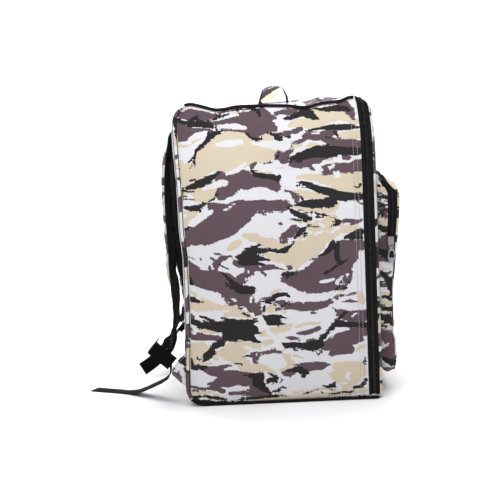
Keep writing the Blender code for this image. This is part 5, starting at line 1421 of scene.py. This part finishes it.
def make_straps():
    for side, sign in (("left", -1), ("right", 1)):
        middle, across, up, thick, width = strap_frames(sign)
        far = lengths(middle)
        for kind, start, material in (("cover", 1, CAMO), ("lining", -1, MESH)):
            keys = np.linspace(-1, 1, 33)
            flat = np.sign(keys) * (1 - (1 - np.abs(keys)) ** 1.5)
            crown = (1 - np.abs(flat) ** 4.5)
            dimple = lumps(far[:, None] / 0.035, flat[None, :] * 1.5, 70 + start) * 0.05
            groove = 0.13 * np.exp(-(((np.abs(flat) - 0.78) / 0.04) ** 2))
            height = 0.86 * thick[:, None] / 2 * crown[None, :] * (1 + dimple - groove[None, :])
            reach = width[:, None, None] / 2 - 0.0008
            points = (middle[:, None] + across[:, None] * (flat[None, :, None] * reach)
                      + up[:, None] * (start * height[..., None]))
            made = grid_piece(f"strap_{kind}_{side}", points, material, flip=start < 0)
            if kind == "cover":
                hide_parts("shoulder_strap_" + side)
            ends = np.minimum(far, far[-1] - far)[:, None] < 0.010
            swell(made, ends | (np.abs(flat) > 0.97) | (np.abs(np.abs(flat) - 0.80) < 0.03), 0.0032)
            if kind == "cover":
                u = flat[None, :] * width[:, None] / 2 + 0 * far[:, None]
                v = far[:, None] + 0 * flat[None, :]
                paint(made, u, v, cut(1.0, 0.06 * sign, 0.0, sign > 0), 6 + sign)
        for name, edge in (("a", -1), ("b", 1)):
            path = middle + across * (edge * (width[:, None] / 2 - 0.0006))
            tube_piece(f"strap_binding_{side}_{name}", path, STRAP_BINDING, BINDING, 10)
            line = (middle + across * (edge * (width[:, None] / 2 * 0.80))
                    + up * (thick[:, None] / 2 * 0.80))
            stitches(f"strap_stitches_{side}_{name}", line, up, THREAD)


HANDLE_PRINT = {
    "beige": [[(0.014, -0.080, 0.010), (0.004, -0.066, 0.011), (-0.010, -0.056, 0.006)],
              [(0.016, -0.036, 0.004), (0.0, -0.024, 0.003)],
              [(-0.02, 0.034, 0.012), (0.02, 0.052, 0.014)]],
    "brown": [[(0.022, -0.054, 0.008), (0.008, -0.037, 0.009), (-0.008, -0.019, 0.010),
               (-0.02, -0.006, 0.008)],
              [(-0.02, 0.078, 0.009), (0.02, 0.092, 0.008)]],
    "white": [],
    "black": [[(0.022, -0.071, 0.0058), (0.006, -0.055, 0.0066), (-0.014, -0.040, 0.0054)],
              [(0.02, 0.010, 0.004), (-0.02, 0.022, 0.005)]]}


def make_handle():
    rows = np.array([(x, 0, TALL + h, w, t) for x, h, w, t in HANDLE_ROWS])
    fine = even(rows[:, :3], 0.0025, rows[:, 3:])
    path, width, thick = fine[:, :3], fine[:, 3], fine[:, 4]
    path[:, 1] = -0.004
    turn = 2 * np.pi * (np.arange(44) + 0.5) / 44
    cosine, sine = np.cos(turn), np.sin(turn)
    a = np.sign(cosine) * np.abs(cosine) ** 0.55
    b = np.sign(sine) * np.abs(sine) ** 0.85
    profile = np.stack([a[None, :] * width[:, None] / 2, b[None, :] * thick[:, None] / 2], -1)
    points = sweep_points(path, (0, 1, 0), profile)
    made = grid_piece("handle_cover", soft(points), CAMO, True, True)
    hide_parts("top_handle")
    ends = (np.abs(path[:, 0]) > 0.080)[:, None]
    swell(made, ends | (np.abs(a) > 0.93)[None, :], 0.0025)
    u = path[:, 0][:, None] + 0 * points[..., 1]
    paint(made, points[..., 1], u, HANDLE_PRINT, 9)
    for name, edge in (("a", -1), ("b", 1)):
        line = path + np.array([0, 1, 0]) * (edge * (width[:, None] / 2 - 0.0004))
        tube_piece(f"handle_binding_{name}", soft(line), HANDLE_BINDING, BINDING, 10)


make_back_pad()
make_straps()
make_handle()
run_swell()


# Gussets, webbing and buckles

GUSSET_PRINT = {
    "beige": [[(-0.174, 0.046, 0.002), (-0.166, 0.050, 0.003)]],
    "brown": [[(-0.189, 0.059, 0.009), (-0.181, 0.054, 0.0085), (-0.174, 0.045, 0.004)],
              [(-0.168, 0.066, 0.003), (-0.163, 0.060, 0.003)]],
    "white": [[(-0.186, 0.062, 0.001), (-0.180, 0.061, 0.0022), (-0.175, 0.066, 0.002)]],
    "black": [[(-0.177, 0.080, 0.004), (-0.170, 0.079, 0.007), (-0.163, 0.073, 0.006)]]}


def make_gussets():
    outline = even(GUSSET_OUTLINE + GUSSET_OUTLINE[:1], 0.0022)[:-1]
    middle = outline.mean(0)
    for side, sign in (("left", -1), ("right", 1)):
        rings = []
        half = (GUSSET_INSETS[0] - GUSSET_INSETS[1]) / 2
        centre = HALF - sum(GUSSET_INSETS) / 2
        keys = [0.02, 0.25, 0.5, 0.7, 0.84, 0.93, 0.98, 1.0]
        for start in (1, -1):
            for share in (keys if start > 0 else keys[::-1]):
                groove = 0.18 * math.exp(-(((share - 0.80) / 0.05) ** 2))
                fat = half * math.sqrt(max(0.0, 1 - share ** 9)) * (1 - groove)
                flat = middle + (outline - middle) * share
                x = np.full(len(flat), sign * (centre + start * fat))
                rings.append(np.stack([x, flat[:, 0], flat[:, 1]], -1))
        box = np.array(rings[::sign])
        made = grid_piece("gusset_cloth_" + side, soft(box), CAMO, True, True)
        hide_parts("gusset_" + side)
        paint(made, -box[..., 1], box[..., 2], GUSSET_PRINT, 10 + sign)
        flat = middle + (outline - middle) * 0.80
        x = np.full(len(flat), sign * (centre + half * 0.86))
        line = soft(np.stack([x, flat[:, 0], flat[:, 1]], -1))
        stitches("gusset_stitches_" + side, np.concatenate([line, line[:1]]), (sign, 0, 0), THREAD)


def buckle_frame(sign):
    up = Vector((0, -0.24, 0.971)).normalized()
    out = Vector((0, 0.971, 0.24)).normalized()
    return Vector((sign * BUCKLE_X, BUCKLE_Y, BUCKLE_Z)), up, out


def webbing(name, rows, nodes, thick=WEB_THICK, step=0.0016):
    path = np.array([tuple(r[0]) for r in rows])
    wide = np.array([tuple(r[1]) for r in rows], float)
    fine = even(path, step, wide)
    points = sweep_points(fine[:, :3], fine[:, 3:], ring_profile(WEB_WIDTH, thick))
    made = grid_piece(name, points, WEBBING, True, True)
    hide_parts(*nodes)
    return made


def make_webbing():
    reach = BUCKLE_THICK / 2 + WEB_THICK / 2 + GAP
    bar_up = BUCKLE_BAR + BUCKLE_SLOT
    for side, sign, stand in (("left", -1, STAND_LEFT), ("right", 1, STAND_RIGHT)):
        middle, up, out = buckle_frame(sign)
        rows = []
        for u, n in ((bar_up + 0.0088, 1.0), (bar_up - 0.0012, 1.0), (bar_up - 0.0030, 0.86),
                     (bar_up - 0.0038, 0.45), (bar_up - 0.0040, 0.0), (bar_up - 0.0038, -0.45),
                     (bar_up - 0.0030, -0.86), (bar_up - 0.0012, -1.0), (bar_up + 0.0088, -1.0)):
            rows.append((middle + up * u + out * (n * reach), (1, 0, 0)))
        webbing("loop_webbing_" + side, rows, ("strap_loop_" + side,), WEB_THICK * 0.8, 0.0012)

        enters = 1.0 if stand > 0.03 else -1.0
        way = Vector((0, ANCHOR_WAY[0], ANCHOR_WAY[1])).normalized()
        lift = Vector((0, -way.z, way.y))
        low = middle + up * -0.0150 + out * (reach * enters)
        beside = stand - 0.0024 if stand > 0.03 else stand + 0.0024
        end = Vector((sign * BUCKLE_X, ANCHOR_START[0], ANCHOR_START[1])) + way * beside
        first_leg = (0.003, -0.004, -0.0105) if stand > 0.03 else (-0.008, -0.002, 0.005)
        rows = [(end + lift * share, (1, 0, 0)) for share in first_leg]
        turn = rows[-1][0]
        dip = -0.0065 if stand > 0.03 else 0.0
        steps = 6 if stand > 0.03 else 2
        for k in range(1, steps):
            share = k / steps
            sag = Vector((0, 0, dip * math.sin(math.pi * share)))
            rows.append((turn.lerp(low, share) + sag, (1, 0, 0)))
        rows.append((low, (1, 0, 0)))
        for u, n in ((-0.0080, 1.0), (0.0014, 1.0), (0.0030, 0.86), (0.0037, 0.45), (0.0039, 0.0),
                     (0.0037, -0.45), (0.0030, -0.86), (0.0014, -1.0), (-0.0080, -1.0), (-0.0150, -1.0)):
            rows.append((middle + up * u + out * (n * reach * enters), (1, 0, 0)))
        if sign < 0:
            rows += [((inward - BUCKLE_X, y, z), (1, 0, 0)) for inward, y, z in LEFT_TAIL]
        else:
            rows += [((BUCKLE_X - r[0], r[1], r[2]), r[3:]) for r in RIGHT_TAIL]
        webbing("adjuster_webbing_" + side, rows, ("adjuster_" + side,))

        x = sign * (HALF - sum(GUSSET_INSETS) / 2)
        start = Vector((x, ANCHOR_START[0], ANCHOR_START[1]))
        inward = Vector((-sign, 0, 0))
        rows = []
        for out_by, in_by in ((0.0006, 0.0), (stand * 0.5, -0.0008), (stand - 0.0030, 0.0),
                              (stand - 0.0008, 0.0009), (stand, 0.0030), (stand, 0.0180),
                              (stand - 0.0004, 0.0440)):
            rows.append((start + way * out_by + inward * in_by, lift))
        webbing("anchor_webbing_" + side, rows, ("anchor_" + side,), step=0.0008)


def dress_hard_parts():
    for material, names in ((PLASTIC, ("buckle_left", "buckle_right")),
                            (METAL, ("main_zip_slider", "pocket_zip_slider", "pocket_zip_pull")),
                            (INSERT, ("pocket_pull_insert",))):
        for name in names:
            for slot in frame["nodes"][name].material_slots:
                slot.material = material


make_gussets()
make_webbing()
dress_hard_parts()


# Floor and light

def add_stage():
    made, tree, shader = new_material("pale_floor")
    n = Nodes(tree)
    place = n.add("ShaderNodeTexCoord").outputs["Object"]
    tone = n.noise(place, 3.0, 2.0)
    value = n.math("ADD", 0.99, n.math("MULTIPLY", tone, 0.02))
    n.join(n.shift(srgb(250, 250, 251), value), shader.inputs["Base Color"])
    shader.inputs["Roughness"].default_value = 0.6
    shader.inputs["Specular IOR Level"].default_value = 0.2
    near, flat_end, sweep, far = -4.0, 1.6, 1.2, 5.0
    run = [(near, 0.0), (flat_end, 0.0)]
    for k in range(1, 13):
        turn = math.radians(90 * k / 12)
        run.append((flat_end + sweep * math.sin(turn), sweep - sweep * math.cos(turn)))
    run.append((flat_end + sweep, far))
    points = np.array([[(x, y, z) for y in (-far, far)] for x, z in run])
    floor = grid_piece("pale_floor", points, made, body=None, flip=True)


def area_light(name, spot, aim, size, power, wide=None):
    data = bpy.data.lights.new(name, "AREA")
    data.shape, data.size, data.energy = "DISK", size, power
    if wide:
        data.shape, data.size_y = "RECTANGLE", wide
    made = bpy.data.objects.new(name, data)
    made.location = spot
    made.rotation_euler = (Vector(aim) - Vector(spot)).to_track_quat("-Z", "Y").to_euler()
    bpy.context.scene.collection.objects.link(made)


def add_light():
    area_light("soft_key", (-0.60, 0.02, 0.82), (-0.17, 0.02, 0.44), 0.8, 3.9, wide=0.26)
    area_light("top_light", (0.3, 0.0, 2.4), (0, 0, 0.0), 2.4, 36)
    area_light("backdrop_light", (0.9, 0.0, 2.6), (2.6, 0, 0.8), 2.2, 70)
    world = bpy.data.worlds.new("pale_room")
    world.use_nodes = True
    back = world.node_tree.nodes["Background"]
    back.inputs["Color"].default_value = (0.97, 0.98, 1.0, 1.0)
    back.inputs["Strength"].default_value = 0.42
    bpy.context.scene.world = world


add_stage()
add_light()
bpy.context.scene.view_settings.view_transform = "Standard"
